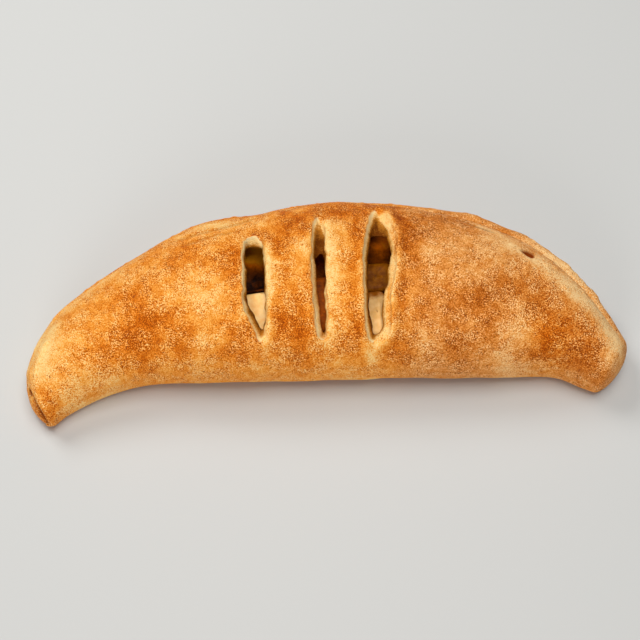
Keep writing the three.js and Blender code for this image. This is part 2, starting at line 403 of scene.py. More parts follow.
class Signal:
    """A number that a shader works out, as a socket that takes Python's operators."""

    def __init__(self, recipe: Recipe, socket: bpy.types.NodeSocket) -> None:
        """Wraps a socket.

        Args:
            recipe: The material that the socket is in.
            socket: The output socket.
        """
        self.recipe = recipe
        self.socket = socket

    def _math(self, operation: str, *values: Any) -> Signal:
        """The outcome of one Math node."""
        inputs = dict(enumerate(values))
        return self.recipe.node("ShaderNodeMath", {"operation": operation}, inputs)

    def __add__(self, other: Any) -> Signal:
        """Sum."""
        return self._math("ADD", self, other)

    __radd__ = __add__

    def __mul__(self, other: Any) -> Signal:
        """Product."""
        return self._math("MULTIPLY", self, other)

    __rmul__ = __mul__

    def __sub__(self, other: Any) -> Signal:
        """Difference."""
        return self._math("SUBTRACT", self, other)

    def __rsub__(self, other: Any) -> Signal:
        """Difference, the other way round."""
        return self._math("SUBTRACT", other, self)

    def ramp(self, low: float, high: float) -> Signal:
        """0 where this is below low and 1 where it is above high, with a smooth slope between.

        Args:
            low: Where the slope starts.
            high: Where it ends.

        Returns:
            The new signal.
        """
        settings = {"interpolation_type": "SMOOTHSTEP"}
        inputs = {"Value": self, "From Min": low, "From Max": high}
        return self.recipe.node("ShaderNodeMapRange", settings, inputs)


class Recipe:
    """A material whose node tree grows one node at a time."""

    def __init__(self, name: str) -> None:
        """Starts the material with its main shader.

        Args:
            name: Name of the material.
        """
        self.material = bpy.data.materials.new(name)
        self.material.use_nodes = True
        self.tree = self.material.node_tree
        self.shader = self.tree.nodes["Principled BSDF"]
        self.place = self.node("ShaderNodeTexCoord", output="Object")

    def node(
        self,
        kind: str,
        settings: dict[str, Any] | None = None,
        inputs: dict[Any, Any] | None = None,
        output: str | int = 0,
    ) -> Signal:
        """Adds a node.

        Args:
            kind: Type of the node.
            settings: Its properties, and the stops of a colour ramp, which are set first.
            inputs: Values or signals for its sockets, by name or number.
            output: The socket that is wanted, by name or number.

        Returns:
            The wanted socket as a signal.
        """
        made = self.tree.nodes.new(kind)
        for key, value in (settings or {}).items():
            if key == "stops":
                self._set_stops(made.color_ramp, value)
            else:
                setattr(made, key, value)
        for key, value in (inputs or {}).items():
            self.feed(made.inputs[key], value)
        return Signal(self, made.outputs[output])

    def feed(self, socket: bpy.types.NodeSocket, value: Any) -> None:
        """Links a signal to a socket, or sets the socket to a plain value.

        Args:
            socket: The socket.
            value: The signal or the value.
        """
        if isinstance(value, Signal):
            self.tree.links.new(value.socket, socket)
        else:
            socket.default_value = value

    @staticmethod
    def _set_stops(ramp: bpy.types.ColorRamp, stops: Sequence[tuple[float, Any]]) -> None:
        """Gives a colour ramp its stops.

        Args:
            ramp: The ramp.
            stops: The place and the colour of each stop.
        """
        while len(ramp.elements) < len(stops):
            ramp.elements.new(1.0)
        for element, (place, colour) in zip(ramp.elements, stops):
            element.position = place
            element.color = colour

    def attribute(self, name: str) -> Signal:
        """Reads a value that the mesh keeps for each point."""
        return self.node("ShaderNodeAttribute", {"attribute_name": name}, output="Fac")

    def noise(self, size: float, detail: float = 2.0, roughness: float = 0.5) -> Signal:
        """Soft random values from 0 to 1.

        Args:
            size: Distance between one swell and the next, in millimetres.
            detail: How many finer layers are added.
            roughness: How strong those are.

        Returns:
            The signal.
        """
        inputs = {
            "Vector": self.place,
            "Scale": 1.0 / (size * MM),
            "Detail": detail,
            "Roughness": roughness,
        }
        return self.node("ShaderNodeTexNoise", None, inputs, "Fac")

    def cells(self, size: float) -> Signal:
        """The distance to the middle of random cells, whose width is the size in millimetres."""
        inputs = {"Vector": self.place, "Scale": 1.0 / (size * MM)}
        return self.node("ShaderNodeTexVoronoi", None, inputs, "Distance")

    def colours(self, value: Signal, stops: Sequence[tuple[float, Any]]) -> Signal:
        """The colour that a ramp has at a value."""
        return self.node("ShaderNodeValToRGB", {"stops": stops}, {"Fac": value}, "Color")

    def blend(self, share: Any, below: Any, above: Any) -> Signal:
        """The mix of two colours, of which the second shows by the share."""
        settings = {"data_type": "RGBA", "blend_type": "MIX", "clamp_factor": True}
        return self.node("ShaderNodeMix", settings, {0: share, 6: below, 7: above}, 2)

    def bump(self, height: Signal, depth: float, strength: float = 1.0) -> Signal:
        """A direction that makes light run over fine relief.

        Args:
            height: Height of the relief, from 0 to 1.
            depth: Its real depth, in millimetres.
            strength: How much of it shows.

        Returns:
            The direction.
        """
        inputs = {"Height": height, "Distance": depth * MM, "Strength": strength}
        return self.node("ShaderNodeBump", None, inputs)

    def finish(self, **inputs: Any) -> bpy.types.Material:
        """Sets the main shader's sockets.

        Args:
            inputs: Values or signals by the sockets' names, with _ for a space.

        Returns:
            The finished material.
        """
        for name, value in inputs.items():
            label = name.replace("_", " ").title().replace("Ior", "IOR")
            self.feed(self.shader.inputs[label], value)
        return self.material


# ---- The dome of dough ----


@dataclass(frozen=True)
class Rib:
    """A line across the calzone, from its folded front edge to its sealed back edge."""

    front: Pair
    back: Pair
    height: float


@dataclass(frozen=True)
class Around:
    """How many points a section has over each of its stretches."""

    front: int = 44
    back: int = 96
    under: int = 14
    flat: int = 14


@dataclass(frozen=True)
class Flap:
    """A corner of dough on the seam, which grows proud along it and then ends in a step."""

    share: float
    length: float
    proud: float
    step: float = 0.004

    def rise(self, shares: Array) -> Array:
        """How far the flap stands proud.

        Args:
            shares: Shares of the length.

        Returns:
            Distances in millimetres.
        """
        growing = smoothstep(shares, self.share - self.length, self.share)
        ending = 1.0 - smoothstep(shares, self.share, self.share + self.step)
        return self.proud * growing * ending


@dataclass(frozen=True)
class Seam:
    """The rolled bead along the back, an oval that leans on the dome."""

    width: float = 17.0
    thickness: float = 16.0
    level: float = 15.0
    level_share: float = 0.4
    share_of_crown: float = 0.32
    proud: tuple[float, ...] = (1, 2.6, 3.4, 3, 5, 6, 6.6, 8.8, 9, 6.5, 1.5)
    ripple: float = 0.9
    ripples: tuple[Drift, ...] = (Drift(5, 0.085, 0.7), Drift(5, 0.032, 0.5))
    ripple_fade: Pair = (0.02, 0.1)
    flaps: tuple[Flap, ...] = (
        Flap(0.668, 0.05, 1.0),
        Flap(0.735, 0.03, 0.8),
        Flap(0.806, 0.025, 1.2),
        Flap(0.872, 0.03, 1.3),
    )

    def standing_proud(self, shares: Array) -> Array:
        """How far the bead stands proud of the dome, with its ripples.

        Args:
            shares: Shares of the length.

        Returns:
            Distances in millimetres.
        """
        place = shares * (len(self.proud) - 1)
        first = np.clip(place.astype(int), 0, len(self.proud) - 2)
        values = np.asarray(self.proud)
        even = lerp(values[first], values[first + 1], smoothstep(place - first, 0.0, 1.0))
        line = np.stack([shares, np.zeros_like(shares), np.zeros_like(shares)], axis=1)
        rippling = sum(drift.at(line) for drift in self.ripples)
        fade = smoothstep(shares, *self.ripple_fade) * smoothstep(1.0 - shares, *self.ripple_fade)
        flaps = sum(flap.rise(shares) for flap in self.flaps)
        return even + flaps + self.ripple * fade * rippling


@dataclass(frozen=True)
class Tuck:
    """The short groove behind the strip of dough that is folded over the left tip."""

    share: float = 0.022
    width: float = 0.006
    depth: float = 2.8
    levels: Pair = (0.25, 0.6)


@dataclass(frozen=True)
class Lip:
    """The edge of a vent, torn and flared, which curls up and slumps as the dough bakes."""

    flare: float
    rise: float
    # how much paler the skin beside the lip is: paler dough, and painted highlight where the lip faces
    # the light
    paleness_and_highlight: float
    skinned: float = 0.0
    reach: float = 3.0
    shoulder: float = 0.4
    slump: float = 0.0
    slump_reach: float = 7.0

    def lift(self, distance: Array) -> Array:
        """How far the dough is lifted, for its distance from the flared edge."""
        curl = self.rise * bell(distance - self.flare - self.shoulder * self.reach, self.reach)
        return curl - self.slump * bell(distance, self.slump_reach)


@dataclass(frozen=True)
class Vent:
    """An opening cut across the crown, from its back end to its front end."""

    back: Pair
    front: Pair
    bow_left: float
    bow_right: float
    fullness: Pair
    lean: float
    left_lip: Lip
    right_lip: Lip
    end_flares: Pair
    end_slopes: Pair
    lean_in: Pair
    # painted shade on the crumb at the sloping back end; below 0 it paints the crumb there paler
    crumb_shade: float
    ragged: float = 0.9
    back_taper: float = 0.05
    blunted: float = 0.97
    swell: float = 0.0
    right_bulge: tuple[float, ...] = (1.0, 1.0)
    flare_growth: Pair = (0.8, 1.3)
    # painted shade on the crumb of the left wall
    left_wall_shade: float = 0.0

    FULLNESS_TURN = (0.2, 0.8)  # shares of the length where the back's fullness gives way
    SWELL_END = 0.35  # share of the length where the swell of the back has gone
    LEAN_START = (0.4, 0.8)  # shares of the length where the sides begin to lean in
    FACING = 0.5  # part of a direction at which one side's or end's flare has given way
    TAPER_START = -0.05  # share of the length where the flare of the back end would be nothing
    SIDE_BLEND = 1.5  # distance from the middle line at which one side's lip has given way

    def sides(self, shares: Array, sunk: float = 0.0) -> tuple[Array, Array]:
        """How far the sides stand from the vent's middle line.

        Args:
            shares: Shares of the vent's length.
            sunk: How deep in the wall it is, from 0 at the skin to 1.

        Returns:
            The distances of the left and of the right side.
        """
        open_by = self.opening(shares, sunk)
        bulge = Spline([[value] for value in self.right_bulge]).at(shares)[:, 0]
        return self.bow_left * open_by, self.bow_right * open_by * bulge

    def opening(self, shares: Array, sunk: float = 0.0) -> Array:
        """How far the sides stand open along the vent.

        Args:
            shares: Shares of the vent's length.
            sunk: How deep in the wall it is, from 0 at the skin to 1.

        Returns:
            Values from 0 at its ends to 1.
        """
        back = self.fullness[0] * (1.0 - self.blunted * sunk)
        fullness = lerp(back, self.fullness[1], smoothstep(shares, *self.FULLNESS_TURN))
        swell = 1.0 + self.swell * sunk * (1.0 - smoothstep(shares, 0.0, self.SWELL_END))
        return swell * np.maximum(0.0, np.sin(np.pi * shares**self.lean)) ** fullness

    def outline(self, steps: int, sunk: float = 0.0) -> Array:
        """The vent's edge in plan.

        Args:
            steps: How many steps each side has.
            sunk: How deep in the wall it is, from 0 at the skin to 1, where both ends are drawn in.

        Returns:
            A closed row of points, down the left side and back up the right side.
        """
        shares = (1.0 - np.cos(np.linspace(0.0, np.pi, steps + 1))) / 2.0
        to_left, to_right = self.sides(shares, sunk)
        length = self.back[1] - self.front[1]
        drawn_in = [slope * sunk / length for slope in self.end_slopes]
        along = lerp(drawn_in[0], 1.0 - drawn_in[1], shares)
        x = lerp(self.back[0], self.front[0], along)
        y = lerp(self.back[1], self.front[1], along)
        lean = sunk * smoothstep(shares, *self.LEAN_START)
        left = np.stack([x - to_left * (1.0 - lean * self.lean_in[0] / self.bow_left), y], axis=1)
        right = np.stack([x + to_right * (1.0 - lean * self.lean_in[1] / self.bow_right), y], axis=1)
        return np.vstack([left, right[1:-1][::-1]])

    def flares(self, normals: Array, shares: Array) -> Array:
        """How much wider the vent is at the skin, for the way that each point of its edge faces.

        Args:
            normals: Outward directions in plan.
            shares: Shares of the vent's length.

        Returns:
            Distances.
        """
        sideways = self.of_lips("flare", smoothstep(normals[:, 0], -self.FACING, self.FACING))
        sideways = sideways * lerp(*self.flare_growth, shares)
        sideways = sideways * smoothstep(shares, self.TAPER_START, self.back_taper)
        front, back = self.end_flares[1], self.end_flares[0]
        endways = lerp(front, back, smoothstep(normals[:, 1], -self.FACING, self.FACING))
        return lerp(sideways, endways, normals[:, 1] ** 4)

    def of_lips(self, name: str, side: Array) -> Array:
        """A size of the lips, from the left one's where side is 0 to the right one's where it is 1."""
        return lerp(getattr(self.left_lip, name), getattr(self.right_lip, name), side)

    def distance(self, x: Array, y: Array) -> tuple[Array, Array]:
        """Distance in plan to the vent, and the side of it that a place is on.

        Args:
            x: Places along the calzone.
            y: Places across it.

        Returns:
            The distances, 0 inside the vent, and the side, from 0 on its left to 1 on its right.
        """
        share = np.clip((self.back[1] - y) / (self.back[1] - self.front[1]), 0.0, 1.0)
        to_left, to_right = self.sides(share)
        sideways = x - lerp(self.back[0], self.front[0], share)
        right = sideways - to_right
        left = -sideways - to_left
        beside = np.maximum(0.0, np.maximum(right, left))
        beyond = np.maximum(0.0, np.maximum(y - self.back[1], self.front[1] - y))
        side = smoothstep(sideways, -self.SIDE_BLEND, self.SIDE_BLEND)
        return np.hypot(beside, beyond), side


@dataclass(frozen=True)
class Dome:
    """The body of dough, as sections that run across it from the front edge to the seam."""

    ribs: tuple[Rib, ...] = (
        Rib((-164, -65), (-180, -42), 23),
        Rib((-151, -54.8), (-173, -19), 32),
        Rib((-131, -45), (-158, 7), 41),
        Rib((-104, -38.5), (-126, 34.5), 49),
        Rib((-70, -38), (-84, 61), 56),
        Rib((-34, -37.5), (-41, 71), 58),
        Rib((2, -36.5), (3, 78), 59),
        Rib((40, -35), (48, 75), 58),
        Rib((80, -34.5), (93, 64.5), 55),
        Rib((112, -33.5), (129.5, 46), 49),
        Rib((136, -32.5), (154, 21), 43),
        Rib((152, -38), (169.5, -4), 37),
        Rib((163.5, -42), (182, -20), 29),
    )
    middle: Pair = (0.5, 11.5)
    front_level: float = 0.4
    back_level: float = 0.27
    crest_shift: float = -0.12
    front_squareness: float = 2.25
    back_squareness: float = 2.1
    under_squareness: float = 2.2
    flat_front: float = -0.8
    flat_back: float = 0.84
    heart: float = 0.3
    seam: Seam = Seam()
    tuck: Tuck = Tuck()

    def among_ribs(self, points: Array) -> tuple[Array, Array]:
        """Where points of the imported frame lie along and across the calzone."""
        return points[:, 0] + self.middle[0], points[:, 1] + self.middle[1]

    def section(self, around: Around) -> Array:
        """The outline of every section, over the crown and home along the underside.

        Args:
            around: How many points each stretch has.

        Returns:
            Rows of the place across, from -1 to 1, and the height, from 0 to 1.
        """

        def quarter(count: int, falling: bool, squareness: float) -> tuple[Array, Array]:
            """A quarter of a superellipse.

            Args:
                count: How many points it has.
                falling: Whether it starts at the top.
                squareness: 2 for an ellipse, and more for squarer shoulders.

            Returns:
                Its distances out and up.
            """
            shares = np.arange(count) / count
            angle = (1.0 - shares if falling else shares) * np.pi / 2.0
            power = 2.0 / squareness
            return np.cos(angle) ** power, np.sin(angle) ** power

        crest = self.crest_shift
        out, up = quarter(around.front, False, self.front_squareness)
        front = np.stack([crest - (1 + crest) * out, lerp(self.front_level, 1.0, up)], axis=1)
        out, up = quarter(around.back, True, self.back_squareness)
        back = np.stack([crest + (1 - crest) * out, lerp(self.back_level, 1.0, up)], axis=1)
        out, up = quarter(around.under, False, self.under_squareness)
        heel = np.stack([lerp(self.flat_back, 1.0, out), self.back_level * (1 - up)], axis=1)
        across = lerp(self.flat_back, self.flat_front, np.arange(around.flat) / around.flat)
        flat = np.stack([across, np.zeros(around.flat)], axis=1)
        out, up = quarter(around.under, True, self.under_squareness)
        toe = np.stack([lerp(self.flat_front, -1.0, out), self.front_level * (1 - up)], axis=1)
        return np.vstack([front, back, heel, flat, toe])

    def rings(
        self,
        shares: Array,
        sizes: Array,
        around: Around,
        inset: float = 0.0,
        floor: float = 0.0,
        shape: Callable[[Array, Array, Array, Array, Array], tuple[Array, Array]] | None = None,
    ) -> Array:
        """Rings of the dome, or of a space inside it.

        Args:
            shares: Shares of the length, one for each ring.
            sizes: How much each ring is shrunk about its own middle, to round off an end.
            around: How many points a ring has.
            inset: How far the rings are drawn in on every side.
            floor: The level that they stand on.
            shape: Moves the distances out and up, for the shares, half widths and crowns.

        Returns:
            Array of rings, points and coordinates.
        """
        across, level = self.section(around).T
        front = Spline([(*rib.front, rib.height) for rib in self.ribs]).at(shares)
        back = Spline([(*rib.back, rib.height) for rib in self.ribs]).at(shares)
        reach = back[:, :2] - front[:, :2]
        width = np.hypot(*reach.T)
        outward = reach / width[:, None]
        half = (width / 2.0 - inset)[:, None]
        crown = (front[:, 2] - inset - floor)[:, None]
        out = across[None, :] * half
        up = level[None, :] * crown
        if shape:
            out, up = shape(out, up, shares[:, None], half, crown)
        out = out * sizes[:, None]
        height = floor + lerp(self.heart * crown, up, sizes[:, None])
        centre = (front[:, :2] + back[:, :2]) / 2.0 - np.array(self.middle)
        plan = centre[:, None, :] + outward[:, None, :] * out[:, :, None]
        return np.concatenate([plan, height[:, :, None]], axis=2)

    def dress(
        self, out: Array, up: Array, shares: Array, half: Array, crown: Array
    ) -> tuple[Array, Array]:
        """Moves the section out onto the seam's oval, and in where the tuck's groove runs.

        Args:
            out: Distances outward from the middle of each section.
            up: Heights.
            shares: Shares of the length.
            half: Half widths.
            crown: Heights of the crown.

        Returns:
            The new distances outward and heights.
        """
        seam = self.seam
        heart_out = self.crest_shift * half
        heart_up = self.heart * crown
        far = np.hypot(out - heart_out, up - heart_up)
        ray_out = (out - heart_out) / far
        ray_up = (up - heart_up) / far
        proud = seam.standing_proud(shares[:, 0])[:, None]
        oval_out = half + proud - seam.width / 2 - heart_out
        oval_up = np.minimum(seam.level, seam.level_share * crown) - heart_up
        wide = seam.width / 2
        tall = np.minimum(seam.thickness / 2, seam.share_of_crown * crown)
        a = (ray_out / wide) ** 2 + (ray_up / tall) ** 2
        b = oval_out * ray_out / wide**2 + oval_up * ray_up / tall**2
        c = (oval_out / wide) ** 2 + (oval_up / tall) ** 2 - 1
        inside = b * b - a * c
        met = np.where(inside > 0, (b + np.sqrt(np.maximum(inside, 0))) / a, 0.0)
        groove = self.tuck.depth * smoothstep(up / crown, *self.tuck.levels)
        groove = groove * bell(shares - self.tuck.share, self.tuck.width)
        reach = np.maximum(far, met) - groove
        return heart_out + ray_out * reach, heart_up + ray_up * reach


# ---- Creases ----


@dataclass(frozen=True)
class Crease:
    """A line on the skin where dough is folded, pinched or torn, with a ridge along one side. The
    groove is darkened as painted shade, and the ridge is paled as a painted highlight.

    The ridge lies on the left of the route where its shift is above 0, and else on the right.
    """

    route: tuple[Pair, ...]
    width: float
    depth: float
    shade: float = 0.0
    ridge: float = 0.0
    shift: float = 2.0
    # paleness of the ridge, a painted highlight
    pale: float = 0.0
    taper: Pair = (0.16, 0.16)
    step: float = 0.4

    MARGIN = 3.0  # widths beyond which a crease does nothing
    NARROWEST = 0.4  # share of its width that a crease has at its ends
    RIDGE_WIDTH = 0.7  # width of the ridge, as a share of its shift

    def press(self, clay: Clay, skin: BVHTree, middle: Array, marks: dict[str, Array]) -> Array:
        """Works out what the crease does to the skin.

        Args:
            clay: The crust.
            skin: The uncut skin, on which the route lies.
            middle: The middle of the outline among the ribs.
            marks: The painted shade and the painted highlight of each point, which it adds to.

        Returns:
            How far each point is lifted.
        """
        knots = np.array(self.route) - middle
        length = np.hypot(*np.diff(knots, axis=0).T).sum()
        count = max(8, int(length / self.step))
        plan = Spline(knots).at(np.linspace(0.0, 1.0, count))
        line = np.column_stack([plan, [height_of(skin, place) for place in plan]])
        heading = np.gradient(line, axis=0)
        leftward = np.stack([-heading[:, 1], heading[:, 0]], axis=1)
        leftward /= np.maximum(1e-6, np.hypot(*leftward.T))[:, None]
        margin = self.MARGIN * max(self.width, abs(self.shift) + self.width)
        low = line.min(axis=0) - margin
        high = line.max(axis=0) + margin
        near = inside_box(clay.points, low, high)
        lift = np.zeros(len(clay.points))
        if not len(near):
            return lift
        gaps = clay.points[near, None, :] - line[None, :, :]
        distances = np.sqrt((gaps**2).sum(axis=2))
        closest = distances.argmin(axis=1)
        away = distances.min(axis=1)
        beside = (gaps[np.arange(len(near)), closest, :2] * leftward[closest]).sum(axis=1)
        side = away * np.sign(beside)
        share = closest / (count - 1)
        fade = smoothstep(share, -0.02, self.taper[0]) * smoothstep(1.0 - share, -0.02, self.taper[1])
        groove = bell(away, self.width * lerp(self.NARROWEST, 1.0, fade)) * fade
        ridge = bell(side - self.shift, abs(self.shift) * self.RIDGE_WIDTH) * fade
        lift[near] = self.ridge * ridge - self.depth * groove
        # painted shade in the groove and painted highlight on the ridge
        marks["fold"][near] = np.maximum(marks["fold"][near], self.shade * groove)
        marks["pale"][near] = np.maximum(marks["pale"][near], self.pale * ridge)
        return lift


def height_of(skin: BVHTree, place: Array) -> float:
    """The level of the uncut skin over a place, in millimetres, or 0 beside it."""
    spot = skin.ray_cast(Vector((place[0] * MM, place[1] * MM, ABOVE_ALL)), Vector((0, 0, -1)))[0]
    return spot.z / MM if spot else 0.0


CREASES = (
    # the seam's edge along the right of the back, with a tear and a second pinch
    Crease(
        ((68.5, 65.3), (75.5, 62.9), (82.5, 57.3), (90.5, 52.3), (99.5, 48.9), (108.5, 45.3)),
        width=1.1, depth=1.4, shade=0.95, ridge=0.6, shift=2.0, pale=0.12, taper=(0.5, 0.3),
    ),
    Crease(
        ((113.5, 35.2), (117.5, 34.0), (121.0, 32.4), (124.2, 30.5)),
        width=2.3, depth=3.0, shade=2.2, ridge=0.5, shift=3.0, taper=(0.6, 0.2),
    ),
    Crease(
        ((122.5, 30.8), (129.5, 28.3), (137, 26.3), (145.5, 23.8)),
        width=1.0, depth=0.8, shade=0.4, ridge=0.6, shift=-2.0, pale=0.35, taper=(0.3, 0.6),
    ),
    Crease(
        ((106.5, 53.3), (122.5, 46.3), (136.5, 37.3), (148.5, 25.3)),
        width=1.1, depth=0.8, shade=0.6, ridge=0.6, shift=2.2, pale=0.2,
    ),
    # fine pleats behind the left of the crown
    Crease(
        (
            (-96.5, 40.3), (-84.5, 41.7), (-75.5, 43.6), (-66.5, 46.3), (-57.5, 49.5),
            (-48.5, 53.3), (-39.5, 59.3),
        ),
        width=1.6, depth=0.4, shade=0.3, ridge=0.5, shift=2.6, pale=0.15,
    ),
    Crease(
        ((-87.5, 33.9), (-77.5, 36.3), (-69, 39.8), (-61.5, 41.3), (-53.5, 43.3)),
        width=1.6, depth=0.3, shade=0.24, ridge=0.3, shift=-2.6, pale=0.15,
    ),
    Crease(
        ((-103.5, 48.3), (-91.5, 53.3), (-77.5, 57.3), (-65.5, 60.3), (-51.5, 64.3)),
        width=1.6, depth=0.4, shade=0.26, ridge=0.4, shift=2.6,
    ),
    # the left tip, where a strip of dough is folded round the end
    Crease(
        ((-163.5, -17.7), (-165.5, -22.7), (-167.8, -28.7), (-169.5, -34.7), (-170.5, -41.7)),
        width=1.2, depth=1.3, shade=0.5, ridge=1.9, shift=2.0, pale=1.3,
    ),
    Crease(
        ((-169.5, -48.2), (-167.5, -52.7), (-165.6, -57.2), (-163.2, -61.7)),
        width=2.2, depth=3.3, shade=2.4, ridge=2.0, shift=2.9, pale=1.0,
    ),
    Crease(
        ((-175, -43.2), (-173, -46.2), (-171.4, -49.7)),
        width=1.8, depth=2.8, shade=2.2, ridge=1.0, shift=2.4, pale=0.8,
    ),
    # a stretch mark in front of the right vent
    Crease(
        ((27.4, -26.2), (26.6, -29.4), (23.6, -32.4)),
        width=1.5, depth=0.5, pale=0.24, ridge=0.01, shift=1.0,
    ),
)


# ---- Browning, with painted light and shade ----


@dataclass(frozen=True)
class Patch:
    """A soft oval, seen from above and placed among the ribs, that is browner or paler."""

    at: Pair
    radii: Pair
    strength: float
    turn: float = 0.0

    def cover(self, x: Array, y: Array) -> Array:
        """How much of the patch there is at each place.

        Args:
            x: Places along the calzone.
            y: Places across it.

        Returns:
            The strength at the middle of the patch, falling to nothing around it.
        """
        angle = math.radians(self.turn)
        dx = x - self.at[0]
        dy = y - self.at[1]
        along = dx * math.cos(angle) + dy * math.sin(angle)
        across = dy * math.cos(angle) - dx * math.sin(angle)
        away = (along / self.radii[0]) ** 2 + (across / self.radii[1]) ** 2
        return self.strength * np.exp(-away)


def ovals(*rows: tuple[float, ...]) -> tuple[Patch, ...]:
    """Patches from rows of their place, their two radii, their strength and perhaps a turn."""
    return tuple(Patch((x, y), (long, wide), *rest) for x, y, long, wide, *rest in rows)


def total_cover(patches: Sequence[Patch], x: Array, y: Array) -> Array:
    """How much of all the patches there is at each place."""
    return sum(patch.cover(x, y) for patch in patches)


# browner patches: browning, and painted shade, such as on the dark flanks beside the vents
BROWN_AND_SHADE_PATCHES = ovals(
    (-105, -20, 13, 15, 0.34), (-112, 2, 14, 8, 0.16), (-104, -37, 9, 8, 0.2),
    (-119, -23, 9, 7, 0.16), (-88, 18, 6, 8, 0.2), (-80, 28, 16, 6, 0.14),
    (-57, 23, 6, 8, 0.4), (-53, 14, 4, 12, 0.5), (-65, 20, 8, 6, 0.2), (-84, -24, 4, 14, 0.2),
    (-60, -33, 8, 6, 0.14), (-50, -28, 5, 10, 0.16), (-30, -12, 5, 12, 0.32),
    (-28, 34, 5, 12, 0.2), (-12, 41, 3, 6, 0.5), (-22, 52, 12, 8, 0.22),
    (-17, -22, 6, 8, 0.36), (-15, -5, 5, 8, 0.16), (-13, -36, 10, 5, 0.16),
    (-163, -46, 4, 6, 0.24), (9, 60, 10, 8, 0.24), (19, 41, 4, 15, 0.5), (1, 54, 5, 4, 0.3),
    (14.5, -4, 3, 8, 0.3), (17, -19, 4, 9, 0.26), (46, 38, 6, 11, 0.8), (55, 57, 14, 7, 0.22),
    (32, 67, 12, 4, 0.4), (76, 56, 10, 6, 0.2), (42, -25, 6, 8, 0.24), (43, 2, 3, 8, 0.35),
    (7, -25, 6, 5, 0.2), (55, -8, 6, 8, 0.2), (50, -34, 7, 5, 0.16), (75, -25, 6, 12, 0.32),
    (81, -35, 6, 4, 0.24), (90, -2, 8, 8, 0.2), (76, -4, 10, 7, 0.16), (93, -15, 7, 7, 0.14),
    (121, -4, 9, 8, 0.2), (128, -22, 9, 11, 0.38), (146, -30, 8, 9, 0.6),
    (-158, -55, 5, 5, 0.3), (92, -5, 6, 7, 0.25), (150, -20, 6, 8, 0.24),
    (140, -13, 7, 7, 0.16), (33, -38, 9, 4, 0.16), (78, 28, 8, 6, 0.1), (105, 6, 12, 6, 0.12),
    (105, -10, 6, 6, 0.2), (157, -28, 6, 6, 0.35), (163, -40, 5, 5, 0.35),
    (-78, -32, 4, 5, 0.2), (-14, -28, 4, 4, 0.2), (67, 14, 5, 6, 0.25), (51, -12, 4, 5, 0.2),
    (50, 28, 5, 9, 0.3), (52, 15, 5, 9, 0.3), (56, 44, 8, 8, 0.25), (-58, 5, 4, 10, 0.14),
    (-160, -62, 4, 4, 0.35), (21, 54, 3, 8, 0.5), (33, 65, 8, 4, 0.5), (43, 54, 4, 8, 0.4),
    (40, -19, 3, 6, 0.35), (-168, -58, 4, 6, 0.3), (0, 60, 8, 4, 0.3), (157, -44, 9, 6, 0.35),
)

# paler patches: paler dough, and painted light, such as the lit strip to the right of the middle vent
PALE_AND_LIT_PATCHES = ovals(
    (-60, 1, 7, 13, 0.12), (-74, -2, 13, 5, 0.16), (-72, -25, 4, 7, 0.22),
    (-76, 12, 8, 4, 0.12), (-42, 50, 10, 5, 0.26), (-66, 52, 16, 5, 0.2),
    (-36, -17, 3, 12, 0.2), (-166, -16, 9, 20, 0.34, -14), (-35, 15, 3, 8, 0.16),
    (-12, 28, 4, 13, 0.14), (-112, -47, 16, 6, 0.2), (-146, 10, 20, 8, 0.18, 40),
    (-128, -12, 8, 5, 0.1), (7, 6, 5, 24, 0.2), (48, -8, 3.5, 9, 0.3, -10),
    (24.5, -32, 3.5, 3.5, 0.22, -15), (54, -25, 3.5, 8, 0.18), (57, 25, 7, 11, 0.2),
    (105, -20, 8, 13, 0.24), (117, -20, 5, 8, 0.12), (148, 8, 14, 6, 0.3, -50),
    (92, -10, 4, 3, 0.14), (108, 37, 20, 5, 0.26, -20), (162, -32, 5, 6, 0.16),
    (112, -36, 10, 5, 0.14), (-150, -52, 16, 8, 0.16), (-163, -36, 6, 12, 0.14),
    (-158, -14, 7, 6, 0.22), (-62, -28, 5, 5, 0.22), (36.5, 49, 2.5, 9, 0.45),
    (165, -20, 7, 12, 0.26), (167, -13, 5, 10, 0.26), (-96, -47, 22, 5, 0.3),
    (-60, -45, 16, 4, 0.12), (-167, -30, 4, 9, 0.2), (134, 17, 26, 6, 0.34, -42),
    (-154, -26, 7, 8, 0.16), (-162, -42, 5, 8, 0.2), (-89, -3, 6, 5, 0.18),
    (-110, 17, 7, 4, 0.18), (-105, -44, 45, 3.5, 0.2), (162, -6, 7, 9, 0.3),
    (60, 28, 5, 7, 0.16), (98, 50, 14, 4, 0.4, -24), (140, 38, 24, 7, 0.36, -38),
    (171, -23, 3, 8, 0.3), (-174, -13, 5, 8, 0.2), (-176, -27, 4, 8, 0.2),
    (0, -38, 150, 5, 0.1),
)


